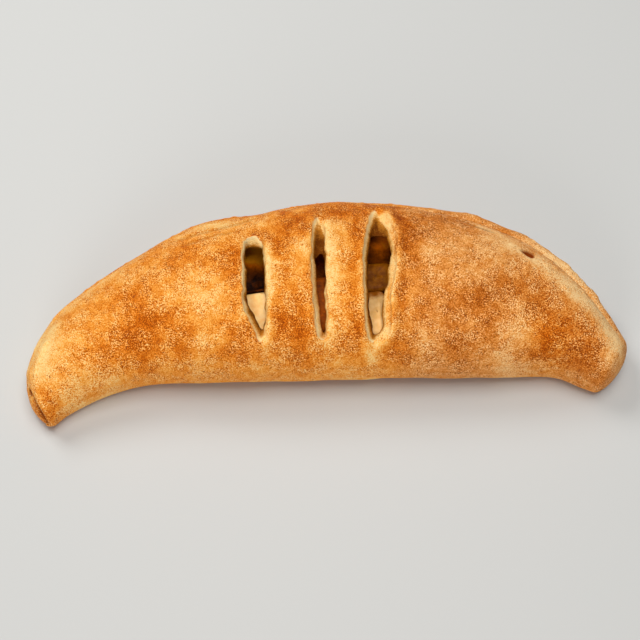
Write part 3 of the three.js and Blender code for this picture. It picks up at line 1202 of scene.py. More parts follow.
@dataclass(frozen=True)
class Browning:
    """How brown the dough is, from 0 for pale to 1 for dark, with painted light and shade among its
    patches.
    """

    even: float = 0.4
    drifts: tuple[Drift, ...] = (Drift(8, 18.0, 0.1), Drift(12, 8.5, 0.13))
    brownest: float = 0.34
    crown_start: Pair = (-62.0, -46.0)
    crown_end: Pair = (42.0, 56.0)
    crown_browner: float = 0.05
    streaks: Drift = Drift(15, 6.0, 0.14)
    streak_stretch: Triple = (1.5, 0.4, 1.0)
    upward: Pair = (-0.2, 0.5)
    brownest_side: float = 0.36
    downward: Pair = (0.4, 0.9)
    underside: float = 0.62
    underside_drift: Drift = Drift(9, 14.0, 0.16)

    def skin(self, points: Array, x: Array, y: Array) -> Array:
        """Browning of the upper side, with the painted light and shade of its patches, apart from the
        lips and the creases.

        Args:
            points: The points of the crust.
            x: Their places along the calzone, among the ribs.
            y: Their places across it.

        Returns:
            A value for each point.
        """
        bake_and_light = self.even + sum(drift.at(points) for drift in self.drifts)
        bake_and_light += self.brownest * np.tanh(total_cover(BROWN_AND_SHADE_PATCHES, x, y) / self.brownest)
        crown = smoothstep(x, *self.crown_start) * (1.0 - smoothstep(x, *self.crown_end))
        bake_and_light += crown * (self.crown_browner + self.streaks.at(points * self.streak_stretch))
        return bake_and_light - total_cover(PALE_AND_LIT_PATCHES, x, y)

    def all_round(self, bake_and_light: Array, points: Array, normals: Array) -> Array:
        """Keeps the walls pale and the underside evenly brown.

        Args:
            bake_and_light: Browning of the upper side.
            points: The points of the crust.
            normals: Their outward directions.

        Returns:
            The browning of every side.
        """
        upward = smoothstep(normals[:, 2], *self.upward)
        bake_and_light = lerp(np.minimum(bake_and_light, self.brownest_side), bake_and_light, upward)
        downward = smoothstep(-normals[:, 2], *self.downward)
        return lerp(bake_and_light, self.underside + self.underside_drift.at(points), downward)


# ---- Finishes ----


@dataclass(frozen=True)
class BakedDough:
    """Golden crust, finely speckled, browner in patches, with pale crumb where it is cut."""

    golden: tuple[tuple[float, Any], ...] = (
        (0.0, srgb(255, 217, 146)),
        (0.25, srgb(252, 178, 82)),
        (0.5, srgb(234, 136, 32)),
        (0.75, srgb(204, 96, 4)),
        (1.0, srgb(150, 60, 0)),
    )
    tanned: tuple[tuple[float, Any], ...] = (
        (0.0, srgb(255, 212, 150)),
        (0.25, srgb(244, 172, 94)),
        (0.5, srgb(218, 130, 46)),
        (0.75, srgb(184, 90, 12)),
        (1.0, srgb(126, 50, 0)),
    )
    # pale crumb at the cut edge, turning brown deeper in the vents as painted shade
    crumb: tuple[tuple[float, Any], ...] = (
        (0.0, srgb(255, 218, 152)),
        (0.12, srgb(255, 228, 170)),
        (0.34, srgb(252, 206, 132)),
        (0.6, srgb(192, 122, 36)),
        (1.0, srgb(106, 52, 2)),
    )
    # colour of the painted shade in the creases
    crease: Any = srgb(132, 54, 2)
    grain: float = 0.7
    fleck: float = 1.6
    mottle: float = 5.0
    grain_contrast: float = 0.86
    pit_darkness: float = 0.85
    spot_paleness: float = 0.38
    mottle_contrast: float = 0.66
    relief_depth: float = 0.7
    roughness: Pair = (0.5, 0.72)
    shine: float = 0.06

    def material(self) -> bpy.types.Material:
        """Mixes the finish.

        Returns:
            The material.
        """
        mix = Recipe("baked_dough")
        grain = mix.noise(self.grain, 2.0, 0.7).ramp(0.28, 0.72)
        mottle = mix.noise(self.mottle, 3.0, 0.6)
        bubbles = mix.cells(self.fleck)
        pits = 1 - bubbles.ramp(0.1, 0.3)
        crumbs = 1 - mix.cells(self.fleck * 0.62).ramp(0.08, 0.28)
        scattered = mix.noise(self.fleck * 2.6, 1.0).ramp(0.5, 0.6)
        # browning, with the painted light and shade of the patches, the lips and the creases' ridges
        bake_and_light = mix.attribute("bake_and_light")
        speckle = (grain - 0.5) * self.grain_contrast
        speckle = speckle + pits * scattered * self.pit_darkness - crumbs * self.spot_paleness
        coarse = mix.noise(self.mottle * 1.6, 2.0).ramp(0.36, 0.64) * 0.8 + 0.6
        shade = bake_and_light + 0.04 + (mottle - 0.5) * self.mottle_contrast
        shade = shade + speckle * (bake_and_light * 0.75 + 0.62) * coarse
        golden = mix.colours(shade, self.golden)
        tanned = mix.colours(shade, self.tanned)
        skin = mix.blend(mix.attribute("tan"), golden, tanned)
        # the crumb darkens deeper in the vents as painted shade
        depth = mix.attribute("depth") + (mottle - 0.5) * 0.55 + (grain - 0.5) * 0.2
        crumb = mix.colours(depth, self.crumb)
        torn = mix.attribute("crumb") + (mottle - 0.5) * 0.5 + (grain - 0.5) * 0.35
        colour = mix.blend(torn.ramp(0.15, 0.75), skin, crumb)
        # painted shade in the creases
        colour = mix.blend(mix.attribute("fold"), colour, self.crease)
        relief = grain * 0.45 + bubbles.ramp(0.0, 0.5) * 0.5 + mottle * 0.6
        low, high = self.roughness
        return mix.finish(
            base_color=colour,
            roughness=low + (high - low) * grain,
            specular_ior_level=self.shine,
            normal=mix.bump(relief, self.relief_depth, 1.0),
        )


@dataclass(frozen=True)
class MeltedFilling:
    """Browned cheese and sauce, moist, with painted light and shade: lighter where light would come in
    through the vents, near black in the shade beneath them.
    """

    # near black for painted shade, up to orange for painted light
    stops: tuple[tuple[float, Any], ...] = (
        (0.0, srgb(34, 8, 0)),
        (0.35, srgb(128, 57, 0)),
        (0.65, srgb(222, 108, 2)),
        (1.0, srgb(255, 158, 22)),
    )
    lump: float = 7.0
    lump_contrast: float = 0.8
    grain: float = 1.2
    grain_contrast: float = 0.2
    roughness: Pair = (0.4, 0.7)
    relief_depth: float = 1.2
    shine: float = 0.05

    def material(self) -> bpy.types.Material:
        """Mixes the finish.

        Returns:
            The material.
        """
        mix = Recipe("melted_filling")
        lumps = mix.noise(self.lump, 4.0, 0.6)
        grain = mix.noise(self.grain, 2.0)
        shade = mix.attribute("light") + (lumps - 0.5) * self.lump_contrast
        shade = shade + (grain - 0.5) * self.grain_contrast
        low, high = self.roughness
        return mix.finish(
            base_color=mix.colours(shade, self.stops),
            roughness=low + grain * (high - low),
            specular_ior_level=self.shine,
            normal=mix.bump(lumps + grain * 0.3, self.relief_depth, 0.7),
        )


@dataclass(frozen=True)
class SoftCheese:
    """Melted cheese with a soft sheen, turned brown by painted shade, and partly browning, where the
    mesh marks it.
    """

    name: str
    pale: Any
    shaded: Any
    # the brown of the painted shade and browning
    browned: Any
    fibre: float = 4.0
    grain: float = 0.9
    roughness: Pair = (0.36, 0.58)
    relief_depth: float = 0.5
    glow: float = 0.12
    glow_reach: Triple = (0.004, 0.0025, 0.001)
    shine: float = 0.16

    def material(self) -> bpy.types.Material:
        """Mixes the finish.

        Returns:
            The material.
        """
        mix = Recipe(self.name)
        soft = mix.noise(self.fibre, 3.0, 0.55)
        grain = mix.noise(self.grain, 2.0)
        low, high = self.roughness
        body = mix.blend(soft.ramp(0.35, 0.7), self.pale, self.shaded)
        shade_and_browning_share = (mix.attribute("shade_and_browning") + (soft - 0.5) * 0.5).ramp(0.25, 0.8)
        return mix.finish(
            base_color=mix.blend(shade_and_browning_share, body, self.browned),
            roughness=low + grain * (high - low),
            specular_ior_level=self.shine,
            normal=mix.bump(soft * 0.7 + grain * 0.3, self.relief_depth, 0.6),
            subsurface_weight=self.glow,
            subsurface_radius=self.glow_reach,
        )


# ---- The crust ----


@dataclass(frozen=True)
class Blisters:
    """Small raised bubbles, scattered over the upper side."""

    count: int = 420
    radii: Pair = (1.4, 3.6)
    height_shares: Pair = (0.1, 0.2)
    least_upward: float = 0.1
    seed: int = 11

    def lift(self, points: Array, normals: Array) -> Array:
        """How far the bubbles raise the skin.

        Args:
            points: The points of the skin.
            normals: Their outward directions.

        Returns:
            How far each point is raised.
        """
        tree = tree_of(points)
        draw = np.random.default_rng(self.seed)
        upper = np.flatnonzero(normals[:, 2] > self.least_upward)
        raised = np.zeros(len(points))
        for middle in draw.choice(upper, self.count, replace=False):
            radius = draw.uniform(*self.radii)
            height = draw.uniform(*self.height_shares) * radius
            for _, i, away in tree.find_range(points[middle], radius):
                raised[i] = max(raised[i], height * (1.0 - (away / radius) ** 2) ** 2)
        return raised


@dataclass
class Crust:
    """The baked shell, with its seam, its tucked tip and its three vents."""

    dome: Dome = field(default_factory=Dome)
    finish: BakedDough = field(default_factory=BakedDough)
    vents: tuple[Vent, ...] = (
        Vent(
            (-40.6, 36.0), (-36.4, -26), 8.5, 2.8, (0.07, 0.9), 1.25,
            Lip(2.0, 0.8, 0.04), Lip(1.5, 0.9, 0.36, skinned=2.4), (2.6, 4.0),
            end_slopes=(2.5, 6.5), lean_in=(0.9, 0.2), crumb_shade=-0.3, ragged=1.0, blunted=0.3,
            left_wall_shade=0.3,
        ),
        Vent(
            (-4, 53), (-1.4, -24), 3.7, 1.9, (0.7, 0.7), 0.86,
            Lip(3.4, 0.8, 0.1), Lip(1.6, 0.3, 0.42, skinned=2.0, slump=1.3, slump_reach=6.5),
            (0.8, 3.5),
            end_slopes=(29.0, 2.0), lean_in=(0.5, 0.2), crumb_shade=0.6, ragged=0.85, swell=0.4,
            right_bulge=(1.0, 1.0, 1.0, 1.0, 0.9, 0.5, 0.7, 0.9, 1.0, 1.1, 1.1),
        ),
        Vent(
            (30.8, 61), (27.4, -25.5), 5.35, 7.6, (1.0, 0.44), 0.93,
            Lip(2.6, 0.9, 0.14), Lip(3.4, 1.8, 0.28, skinned=2.8, reach=3.6), (0.8, 4.0),
            end_slopes=(20.0, 5.0), lean_in=(0.6, 0.8), crumb_shade=0.2, ragged=0.7,
            right_bulge=(1.0, 1.0, 1.06, 1.08, 0.86, 0.85, 0.8, 0.6, 0.68, 1.15, 1.8),
            flare_growth=(1.3, 1.2), left_wall_shade=0.5,
        ),
    )
    browning: Browning = Browning()
    blisters: Blisters = Blisters()
    wall: float = 6.5
    floor: float = 5.0
    # the rings of the skin and of the pocket
    skin_rings: tuple[int, int, int] = (120, 130, 110)
    ring_crowding: float = 1.6
    tip_rounding: float = 0.035
    vent_zone: Pair = (0.3, 0.62)
    pocket_rings: int = 90
    pocket_around: Around = Around(18, 32, 8, 8)
    pocket_span: Pair = (0.1, 0.9)
    pocket_rounding: float = 0.09
    # the vents
    lifted: Pair = (29.0, 37.0)
    vent_steps: int = 60
    cut_depths: tuple[float, ...] = (-12, -4, -1.5, 0, 0.8, 1.6, 2.5, 3.5, 4.5, 5.5, 6.5, 8, 11, 15, 24)
    sinking: float = 1.8
    flare_depth: float = 3.4
    flare_above: float = 5.0
    tear_seed: int = 20
    tear_sizes: Pair = (4.5, 2.0)
    tear_shares: Pair = (1.0, 0.6)
    tear_inwards: float = 0.2
    # the mesh
    face: float = 0.8
    smoothing: int = 2
    rim_smoothing: int = 7
    rim_reach: Pair = (2.2, 2.4)
    edge_reach: float = 12.0
    most_faces: int = 184000
    flat_below: float = 0.4
    new_beyond: float = 1.5
    new_depth: float = 5.0
    # the skin's relief, for depths below the uncut skin and heights above the floor
    skin_depth: Pair = (0.4, 1.5)
    lumps: tuple[Drift, ...] = (Drift(3, 52.0, 0.9), Drift(3, 24.0, 0.45), Drift(3, 11.0, 0.28))
    crumb_lumps: tuple[Drift, ...] = (Drift(3, 3.1, 0.22), Drift(3, 1.7, 0.16))
    crumb_depth: Pair = (0.8, 2.0)
    resting: Pair = (0.5, 6.0)
    # what the finish reads, with painted highlight on lips and ridges and painted shade on the crumb
    ridge_highlight: float = 0.3
    halo_reach: float = 4.6
    halo_behind: Triple = (-9.0, 1.0, 0.8)
    wedge_length: float = 4.0
    crumb_shade_reach: float = 1.5
    crumb_shade_depth: float = 0.3
    tan_zone: Pair = (28.0, 62.0)
    orange: Patch = Patch((128, -22), (12.0, 12.0), 1.0)
    skin_end: float = 1.2
    wall_top: float = 0.6
    wall_depth: float = 7.0

    SMALLEST_RING = 0.02  # size of the ring at a tip, which is closed by a fan of faces

    def shares(self, left: int, middle: int, right: int) -> Array:
        """Shares of the length for the rings, closer together towards the tips.

        Args:
            left: Rings in the left stretch.
            middle: Rings across the vents.
            right: Rings in the right stretch.

        Returns:
            The shares, from 0 to 1.
        """
        start, end = self.vent_zone
        tip = start * (np.arange(left) / left) ** self.ring_crowding
        crown = start + (end - start) * np.arange(middle) / middle
        tail = 1.0 - (1.0 - end) * (np.arange(right, -1, -1) / right) ** self.ring_crowding
        return np.concatenate([tip, crown, tail])

    def end_size(self, inwards: Array, rounding: float) -> Array:
        """How much a ring is drawn in near an end, a share of the length inwards from it."""
        share = np.minimum(1.0, inwards / rounding)
        return np.maximum(self.SMALLEST_RING, np.sqrt(1.0 - (1.0 - share) ** 2))

    def vent_lift(self, points: Array) -> Array:
        """How far the dough around the vents is lifted or slumps.

        Args:
            points: The points of the skin.

        Returns:
            Distances upwards.
        """
        lift = np.zeros(len(points))
        for vent in self.vents:
            away, side = vent.distance(*self.dome.among_ribs(points))
            lift += lerp(vent.left_lip.lift(away), vent.right_lip.lift(away), side)
        return lift

    def skin(self) -> bpy.types.Object:
        """The outside of the crust as a closed solid, before anything is cut.

        Returns:
            The object.
        """
        shares = self.shares(*self.skin_rings)
        sizes = self.end_size(np.minimum(shares, 1.0 - shares), self.tip_rounding)
        rings = self.dome.rings(shares, sizes, Around(), shape=self.dome.dress)
        flat = rings.reshape(-1, 3)
        flat[:, 2] += smoothstep(flat[:, 2], *self.lifted) * self.vent_lift(flat)
        return loft("skin", rings)

    def cutter(self, vent: Vent, seed: int, skin: BVHTree) -> bpy.types.Object:
        """The solid that opens a vent: flared at the skin, with torn sides and a sloping back end.

        Args:
            vent: The vent.
            seed: Number that fixes how it is torn.
            skin: The uncut skin, whose height the cutter follows.

        Returns:
            The object.
        """
        tears = [Drift(seed, *row) for row in zip(self.tear_sizes, self.tear_shares)]
        length = vent.back[1] - vent.front[1]
        rings = []
        for depth in self.cut_depths:
            sunk = min(1.0, max(0.0, depth / self.wall)) ** self.sinking
            plan = vent.outline(self.vent_steps, sunk)
            along = np.roll(plan, -1, axis=0) - np.roll(plan, 1, axis=0)
            normals = np.stack([-along[:, 1], along[:, 0]], axis=1)
            normals /= -np.maximum(1e-6, np.hypot(*normals.T))[:, None]
            flare = vent.flares(normals, (vent.back[1] - plan[:, 1]) / length)
            widening = 1.0 + max(-depth, 0.0) / self.flare_above
            flare = flare * bell(max(depth, 0.0), self.flare_depth) * widening
            plan = plan - np.array(self.dome.middle)
            level = np.array([height_of(skin, place) for place in plan]) - depth
            spots = np.column_stack([plan, level])
            torn = vent.ragged * sum(drift.at(spots) for drift in tears)
            spots[:, :2] += normals * (flare + torn - self.tear_inwards)[:, None]
            rings.append(spots)
        return loft("vent", np.array(rings))

    def pocket(self) -> bpy.types.Object:
        """The space inside the crust.

        Returns:
            The object.
        """
        start, end = self.pocket_span
        shares = np.linspace(start, end, self.pocket_rings)
        sizes = self.end_size(np.minimum(shares - start, end - shares), self.pocket_rounding)
        rings = self.dome.rings(shares, sizes, self.pocket_around, self.wall, self.floor)
        return loft("pocket", rings)

    def build(self) -> bpy.types.Object:
        """Shapes the crust.

        Returns:
            The finished mesh, with what its finish reads.
        """
        crust = self.skin()
        crust.name = "baked_crust"
        whole = BVHTree.FromObject(crust, bpy.context.evaluated_depsgraph_get())
        for i, vent in enumerate(self.vents):
            carve(crust, self.cutter(vent, self.tear_seed + i, whole))
        remesh(crust, self.face)
        clay = Clay(crust)
        log.info("crust remeshed to %d points", len(clay.points))
        clay.smooth(self.smoothing)
        below = self.gap_to(whole, clay.points)
        rim = bell(self.edge_distance(clay.points), self.rim_reach[0]) * bell(below, self.rim_reach[1])
        clay.smooth(self.rim_smoothing, rim)
        below = self.gap_to(whole, clay.points)
        marks = {"fold": np.zeros(len(below)), "pale": np.zeros(len(below))}
        outside = 1.0 - smoothstep(below, *self.skin_depth)
        middle = np.array(self.dome.middle)
        lift = sum(crease.press(clay, whole, middle, marks) for crease in CREASES) * outside
        clay.points += clay.normals() * lift[:, None]
        self.knead(clay, below, outside)
        clay.write()
        kept = clay.points
        self.thin(crust)
        carve(crust, self.pocket())
        final = Clay(crust)
        columns = np.column_stack([below, marks["fold"] * outside, marks["pale"] * outside])
        self.mark(final, *self.carry(kept, columns, final.points).T)
        return crust

    @staticmethod
    def gap_to(whole: BVHTree, points: Array) -> Array:
        """Distances from points to the uncut skin, in millimetres."""
        return np.array([whole.find_nearest(Vector(p))[3] for p in points * MM]) / MM

    def edge_distance(self, points: Array) -> Array:
        """Distance in plan from each point to the nearest edge of a vent.

        Args:
            points: The points.

        Returns:
            The distances.
        """
        nearest = np.full(len(points), 1e3)
        for vent in self.vents:
            outline = vent.outline(self.vent_steps) - np.array(self.dome.middle)
            low = outline.min(axis=0) - self.edge_reach
            high = outline.max(axis=0) + self.edge_reach
            near = inside_box(points[:, :2], low, high)
            gaps = points[near, None, :2] - outline[None, :, :]
            nearest[near] = np.minimum(nearest[near], np.hypot(gaps[..., 0], gaps[..., 1]).min(axis=1))
        return nearest

    def knead(self, clay: Clay, below: Array, outside: Array) -> None:
        """Gives the skin the lumps and blisters of baked dough.

        Args:
            clay: The crust.
            below: How far each point lies below the uncut skin.
            outside: 1 for a point of the skin and 0 for one in a vent.
        """
        normals = clay.normals()
        lift = sum(drift.at(clay.points + drift.size) for drift in self.lumps)
        resting = smoothstep(clay.points[:, 2], *self.resting)
        raised = self.blisters.lift(clay.points, normals)
        clay.points += normals * ((lift + raised) * outside * resting)[:, None]
        crumb = sum(drift.at(clay.points) for drift in self.crumb_lumps)
        clay.points += normals * (crumb * smoothstep(below, *self.crumb_depth))[:, None]
        clay.points[:, 2] = np.maximum(clay.points[:, 2], 0.0)

    def thin(self, crust: bpy.types.Object) -> None:
        """Takes faces away down to the most that the crust may have, first from its flat underside.

        Args:
            crust: The crust.
        """
        heights = np.array([vertex.co.z for vertex in crust.data.vertices]) / MM
        group = crust.vertex_groups.new(name="underside")
        group.add(np.flatnonzero(heights < self.flat_below).tolist(), 1.0, "REPLACE")
        for name in (group.name, ""):
            triangles = sum(len(face.vertices) - 2 for face in crust.data.polygons)
            if triangles > self.most_faces:
                modify(crust, "DECIMATE", ratio=self.most_faces / triangles, vertex_group=name)
        crust.vertex_groups.clear()

    def carry(self, old: Array, values: Array, new: Array) -> Array:
        """Carries values over to new points, each from the nearest old point.

        Args:
            old: The old points.
            values: Their values in rows, of which the first is the depth below the skin.
            new: The new points.

        Returns:
            Rows of values for the new points. One far from every old point lies deep.
        """
        tree = tree_of(old)
        found = np.array([(i, away) for _, i, away in (tree.find(p) for p in new)])
        carried = values[found[:, 0].astype(int)]
        new_ones = found[:, 1] > self.new_beyond
        carried[new_ones, 0] = np.maximum(carried[new_ones, 0], self.new_depth)
        return carried

    def mark(self, clay: Clay, below: Array, fold: Array, pale: Array) -> None:
        """Stores what the finish reads: browning with painted light and shade, tan, crumb, its depth,
        and the painted shade of the creases.

        Args:
            clay: The finished crust.
            below: How far each point lies below the uncut skin.
            fold: Painted shade in the creases, by how deep in a crease each point lies.
            pale: How much of a crease's pale ridge there is, a painted highlight.
        """
        x, y = self.dome.among_ribs(clay.points)
        paleness_and_highlight, skinned, crumb_shade = self.lip_values(x, y)
        # patches, lips and the creases' ridges put painted light and shade into the browning
        bake_and_light = self.browning.skin(clay.points, x, y) - paleness_and_highlight - self.ridge_highlight * pale
        bake_and_light = self.browning.all_round(bake_and_light, clay.points, clay.normals())
        clay.store("bake_and_light", np.clip(bake_and_light, 0.0, 1.0))
        tan = smoothstep(x, *self.tan_zone) - self.orange.cover(x, y)
        clay.store("tan", np.clip(tan, 0.0, 1.0))
        clay.store("crumb", smoothstep(below - skinned, 0.0, self.skin_end))
        # deeper crumb is darker, as painted shade, and more so at the vents' back ends and left walls
        depth = (below - self.wall_top) / self.wall_depth * (1.0 + crumb_shade)
        clay.store("depth", np.clip(depth + self.crumb_shade_depth * crumb_shade, 0.0, 1.0))
        clay.store("fold", fold)

    def lip_values(self, x: Array, y: Array) -> tuple[Array, Array, Array]:
        """What the lip of the nearest vent gives each place.

        Args:
            x: Places along the calzone, among the ribs.
            y: Places across it.

        Returns:
            The paleness of the skin with its painted highlight, how far down the skin reaches, and the
            painted shade of the crumb.
        """
        paleness_and_highlight, skinned, crumb_shade = (np.zeros_like(x) for _ in range(3))
        start, end, loss = self.halo_behind
        for vent in self.vents:
            away, side = vent.distance(x, y)
            near = bell(np.maximum(0.0, away - vent.of_lips("flare", side)), self.halo_reach)
            behind = smoothstep(y, vent.back[1] + start, vent.back[1] + end)
            # paler skin beside each lip, partly painted highlight, with less of it behind the vent
            paleness_and_highlight += near * vent.of_lips("paleness_and_highlight", side) * (1.0 - loss * behind)
            skinned += near * vent.of_lips("skinned", side)
            slope = vent.back[1] - vent.end_slopes[0]
            wedge = smoothstep(y, slope - self.wedge_length, slope)
            # painted shade on the crumb at the vent's back end and on its left wall
            browned = vent.crumb_shade * wedge + vent.left_wall_shade * (1.0 - side)
            crumb_shade += browned * bell(away, self.crumb_shade_reach)
        return paleness_and_highlight, skinned, crumb_shade

    def dress(self, crust: bpy.types.Object) -> None:
        """Gives the crust its finish, and puts it in the frame."""
        coat(crust, self.finish.material())
        join_frame(crust, "crust")


# ---- What shows in the vents ----


@dataclass(frozen=True)
class Bay:
    """A stretch of the steam space, below one vent."""

    start: float
    end: float
    front: float
    forward: float = 0.0


@dataclass
class Filling:
    """The melted filling, which fills the crust but for a steam space below the back of the vents."""

    crust: Crust
    finish: MeltedFilling = field(default_factory=MeltedFilling)
    gap: float = 0.3
    end_gap: float = 0.005
    bays: tuple[Bay, ...] = (Bay(-60, -24, 5.6, 3.0), Bay(-24, 14, 13.3), Bay(14, 47, 7.4))
    bay_floor: float = 24.0
    bay_top: float = 75.0
    slope_foot: float = 30.0
    slope_top: Pair = (49.0, 45.0)
    face: float = 1.5
    rings: int = 150
    around: Around = Around(26, 44, 8, 10)
    upper: Pair = (18.0, 23.0)
    smoothing: int = 3
    upper_smoothing: int = 8
    lumps: tuple[Drift, ...] = (Drift(14, 9.0, 1.3), Drift(15, 4.0, 0.5))
    sunk: float = 0.5
    # painted shade where no light comes in, and patches of painted light below the vents
    shade_level: float = 0.04
    light: tuple[Patch, ...] = ovals(
        (-44, 38, 14, 5.6, 1.9), (-4, 33, 8, 14, 0.6), (-1, -6, 6, 16, 0.32), (31, 44, 12, 8, 0.42),
        (37, 38, 7, 6, 0.35), (28, -10, 10, 14, 0.6), (-37, -18, 8, 12, 0.6),
    )

    def build(self) -> bpy.types.Object:
        """Shapes the filling.

        Returns:
            The mesh, with what its finish reads.
        """
        start = self.crust.pocket_span[0] + self.end_gap
        end = self.crust.pocket_span[1] - self.end_gap
        shares = np.linspace(start, end, self.rings)
        inwards = np.minimum(shares - start, end - shares)
        sizes = self.crust.end_size(inwards, self.crust.pocket_rounding)
        inset = self.crust.wall + self.gap
        floor = self.crust.floor + self.gap
        rings = self.crust.dome.rings(shares, sizes, self.around, inset, floor)
        filling = loft("melted_filling", rings)
        for bay in self.bays:
            carve(filling, self.steam_space(bay))
        for morsel in MORSELS:
            if morsel.sunk:
                carve(filling, morsel.recess(self.gap))
        remesh(filling, self.face)
        clay = Clay(filling)
        upper = smoothstep(clay.points[:, 2], *self.upper)
        clay.smooth(self.smoothing)
        clay.smooth(self.upper_smoothing, upper)
        lumps = sum(drift.at(clay.points) for drift in self.lumps)
        clay.points += clay.normals() * ((lumps - self.sunk) * upper)[:, None]
        clay.write()
        light = total_cover(self.light, *self.crust.dome.among_ribs(clay.points))
        clay.store("light", self.shade_level + light)
        return filling

    def steam_space(self, bay: Bay) -> bpy.types.Object:
        """The solid that clears one bay: a floor, a slope up to the back, and open at the top.

        Args:
            bay: The bay.

        Returns:
            The solid.
        """
        back, level = self.slope_top
        profile = [
            (bay.front, self.bay_floor),
            (self.slope_foot - bay.forward, self.bay_floor),
            (back - bay.forward, level),
            (back - bay.forward, self.bay_top),
            (bay.front, self.bay_top),
        ]
        ends = [[(x, y, z) for y, z in profile] for x in (bay.start, bay.end)]
        return loft("steam_space", np.array(ends) - np.array([*self.crust.dome.middle, 0.0]))

    def dress(self, filling: bpy.types.Object) -> None:
        """Gives the filling its finish, and puts it in the frame."""
        coat(filling, self.finish.material())
        join_frame(filling, "filling")


@dataclass
class Morsel:
    """A soft piece in the filling, shaped from a rounded block that fits the node's box."""

    name: str
    node: str
    slot: Slot
    finish: SoftCheese
    turn: float
    tilt: float
    size: Triple
    squareness: float
    lump_size: float
    lump_depth: float
    ridge: float
    seed: int
    taper: float = 0.0
    droop: float = 0.0
    shaded_sides: Pair = (0.35, 0.0)
    # painted shade at the back end
    back_shade: float = 0.0
    sunk: bool = True
    recess_top: float = 40.0
    steps: int = 72
    ridge_place: float = 0.18
    ridge_width: float = 0.22
    fine_lumps: Pair = (2.5, 0.4)

    # shares of the half size between which a shape or a shade begins and is full
    TAPER = (0.2, 1.0)
    DROOP = (-0.3, 1.0)
    FRONT = (0.7, 1.1)
    LOW = (-0.5, 0.6)
    LEFT = (0.4, 1.0)
    RIGHT = (0.5, 1.0)
    BACK = (0.25, 0.85)

    def centre(self) -> Array:
        """The middle of the node's box, in millimetres."""
        low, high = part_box(self.node)
        return (np.array(low) + np.array(high)) / 2.0 / MM

    def placed(self, points: Array) -> Array:
        """Turns and tilts points, and moves them to where the piece lies."""
        spin = np.array(Euler((math.radians(self.tilt), 0.0, math.radians(self.turn))).to_matrix())
        return points @ spin.T + self.centre()

    def recess(self, gap: float) -> bpy.types.Object:
        """The space in the filling that the piece lies in, which is open at the top.

        Args:
            gap: How far it clears the piece.

        Returns:
            The solid.
        """
        width, depth, thickness = (side / 2.0 + gap for side in self.size)
        ends = [
            [(-width, -depth, z), (width, -depth, z), (width, depth, z), (-width, depth, z)]
            for z in (-thickness, self.recess_top)
        ]
        return loft("recess", self.placed(np.array(ends)))

    def build(self) -> bpy.types.Object:
        """Shapes the piece.

        Returns:
            The mesh, with what its finish reads.
        """
        rise = np.linspace(-np.pi / 2, np.pi / 2, self.steps)
        angle = np.linspace(0.0, 2.0 * np.pi, self.steps * 2, endpoint=False)
        power = 2.0 / self.squareness

        def bent(value: Array) -> Array:
            """A sine or cosine made squarer."""
            return np.sign(value) * np.abs(value) ** power

        width, depth, thickness = (side / 2.0 for side in self.size)
        flat = bent(np.cos(rise))[:, None]
        x = width * flat * bent(np.cos(angle))[None, :]
        y = depth * flat * bent(np.sin(angle))[None, :]
        z = thickness * bent(np.sin(rise))[:, None] * np.ones_like(x)
        z += self.ridge * bell(x - self.ridge_place * width, self.ridge_width * width) * (z > 0)
        x *= 1.0 - self.taper * smoothstep(-y / depth, *self.TAPER)
        hanging = 0.5 + 0.5 * bell(x, 0.6 * width)
        z -= self.droop * smoothstep(y / depth, *self.DROOP) * hanging
        piece = loft(self.name, self.placed(np.stack([x, y, z], axis=2)))
        clay = Clay(piece)
        normals = clay.normals()
        finer, share = self.fine_lumps
        lumps = Drift(self.seed, self.lump_size).at(clay.points)
        lumps += Drift(self.seed + 1, self.lump_size / finer, share).at(clay.points)
        clay.points += normals * (self.lump_depth * lumps)[:, None]
        clay.write()
        clay.store("shade_and_browning", self.shade_and_browning(clay.points - self.centre()))
        return piece

    def shade_and_browning(self, local: Array) -> Array:
        """How much painted shade, partly browning, each place has: the ends, the low parts and the
        sides are shaded.

        Args:
            local: Places measured from the middle of the piece.

        Returns:
            Values from 0 to 1.
        """
        width, depth, thickness = (side / 2.0 for side in self.size)
        front = smoothstep(-local[:, 1] / depth, *self.FRONT)
        low = smoothstep(-local[:, 2] / thickness, *self.LOW)
        left = self.shaded_sides[0] * smoothstep(-local[:, 0] / width, *self.LEFT)
        right = self.shaded_sides[1] * smoothstep(local[:, 0] / width, *self.RIGHT)
        back = self.back_shade * smoothstep(local[:, 1] / depth, *self.BACK)
        return np.clip(0.5 * front + 0.5 * low + left + right + back, 0.0, 1.0)

    def dress(self, piece: bpy.types.Object) -> None:
        """Gives the piece its finish, and puts it in the frame."""
        coat(piece, self.finish.material())
        join_frame(piece, self.node)


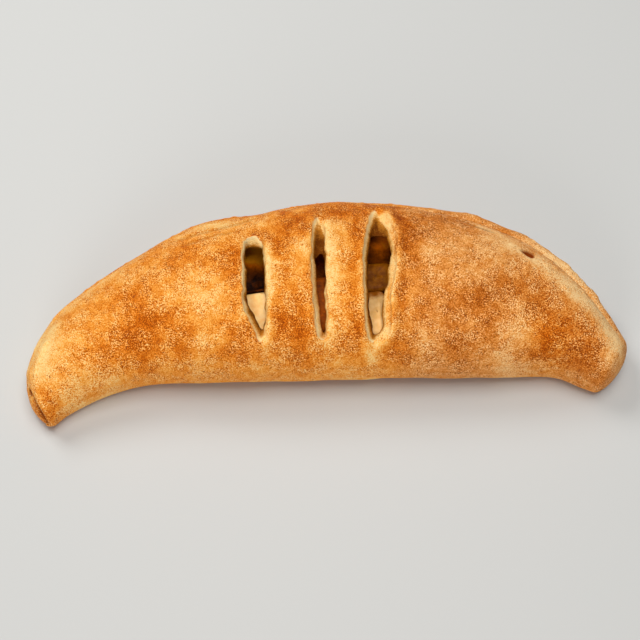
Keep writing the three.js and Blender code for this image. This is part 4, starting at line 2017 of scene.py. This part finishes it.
MORSELS = (
    Morsel(
        "soft_cheese_slice", "cheese_slice", Slot.CHEESE,
        SoftCheese("slice_cheese", srgb(252, 206, 138), srgb(248, 186, 104), srgb(180, 104, 28)),
        turn=11.0, tilt=15.0, size=(25.0, 28.0, 9.0), squareness=5.0,
        lump_size=9.0, lump_depth=0.3, ridge=0.0, seed=31, taper=0.42,
    ),
    Morsel(
        "soft_cheese_fold", "cheese_fold", Slot.CHEESE,
        SoftCheese("fold_cheese", srgb(236, 188, 124), srgb(226, 170, 96), srgb(150, 80, 10)),
        turn=2.0, tilt=6.0, size=(14.5, 31.0, 10.0), squareness=2.8,
        lump_size=8.0, lump_depth=0.25, ridge=0.8, seed=41,
        droop=5.5, back_shade=0.55, shaded_sides=(0.6, 0.5),
    ),
    Morsel(
        "browned_piece", "browned_chunk", Slot.BROWNED,
        # dark browns: partly the piece's own browning, partly painted shade, as it lies deep in the
        # vent
        SoftCheese("browned_cheese", srgb(140, 78, 2), srgb(104, 50, 0), srgb(46, 16, 0), shine=0.06),
        turn=4.0, tilt=0.0, size=(19.8, 19.0, 17.0), squareness=6.5,
        lump_size=6.5, lump_depth=0.5, ridge=0.0, seed=51, shaded_sides=(0.7, 0.0), sunk=False,
    ),
)


# ---- The studio ----


@dataclass(frozen=True)
class Lamp:
    """A soft square light that points at the calzone."""

    name: str
    at: Triple
    side: float
    watts: float
    colour: Triple = (1.0, 1.0, 1.0)

    def build(self) -> None:
        """Hangs the light."""
        data = bpy.data.lights.new(self.name, "AREA")
        data.size = self.side
        data.energy = self.watts
        data.color = self.colour
        lamp = bpy.data.objects.new(self.name, data)
        lamp.location = self.at
        lamp.rotation_euler = (-Vector(self.at)).to_track_quat("-Z", "Y").to_euler()
        bpy.context.scene.collection.objects.link(lamp)


@dataclass
class Studio:
    """A pale floor, soft lights and the camera."""

    floor_side: float = 6.0
    floor_colour: Any = srgb(194, 194, 193)
    sky: Triple = (1.0, 0.99, 0.975)
    sky_strength: float = 0.12
    lamps: tuple[Lamp, ...] = (
        Lamp("key_light", (-0.8, 0.8, 1.25), 0.7, 15.5, (0.985, 0.985, 0.962)),
        Lamp("top_light", (0.15, 0.05, 1.5), 0.8, 15.5, (0.985, 0.985, 0.962)),
        Lamp("fill_light", (-0.4, -1.55, 0.5), 0.8, 13.5, (1.0, 0.97, 0.93)),
    )
    elevation: float = 64.0
    distance: float = 716.0
    target: Triple = (-4.5, -11.5, 20.0)
    lens: float = 67.18
    sensor: float = 36.0

    def build(self) -> None:
        """Sets everything up."""
        self.build_floor()
        self.build_sky()
        for lamp in self.lamps:
            lamp.build()
        self.build_camera()

    def build_floor(self) -> None:
        """Lays the floor, which isn't part of the object."""
        half = self.floor_side / 2.0 / MM
        corners = np.array([[-half, -half, 0], [half, -half, 0], [half, half, 0], [-half, half, 0]])
        floor = new_object("floor", corners, [[0, 1, 2, 3]])
        mix = Recipe("pale_floor")
        coat(floor, mix.finish(base_color=self.floor_colour, roughness=0.8))

    def build_sky(self) -> None:
        """Fills the room with even light."""
        world = bpy.data.worlds.new("studio")
        world.use_nodes = True
        background = world.node_tree.nodes["Background"]
        background.inputs["Color"].default_value = (*self.sky, 1.0)
        background.inputs["Strength"].default_value = self.sky_strength
        bpy.context.scene.world = world

    def build_camera(self) -> None:
        """Places the camera, which looks down on the front."""
        data = bpy.data.cameras.new("camera")
        data.sensor_width = self.sensor
        data.lens = self.lens
        camera = bpy.data.objects.new("camera", data)
        angle = math.radians(self.elevation)
        back = Vector((0.0, -math.cos(angle), math.sin(angle)))
        camera.location = (Vector(self.target) + back * self.distance) * MM
        camera.rotation_euler = (math.pi / 2.0 - angle, 0.0, 0.0)
        bpy.context.scene.collection.objects.link(camera)
        bpy.context.scene.camera = camera
        bpy.context.scene.view_settings.view_transform = "Standard"


# ---- The whole ----


def main() -> None:
    """Builds every piece in order, and logs how many faces each has."""
    logging.basicConfig(level=logging.INFO, format="%(name)s: %(message)s")
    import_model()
    Studio().build()
    crust = Crust()
    for maker in (crust, Filling(crust), *MORSELS):
        piece = maker.build()
        maker.dress(piece)
        log.info("%s: %d faces", piece.name, len(piece.data.polygons))


if __name__ == "__main__":
    main()
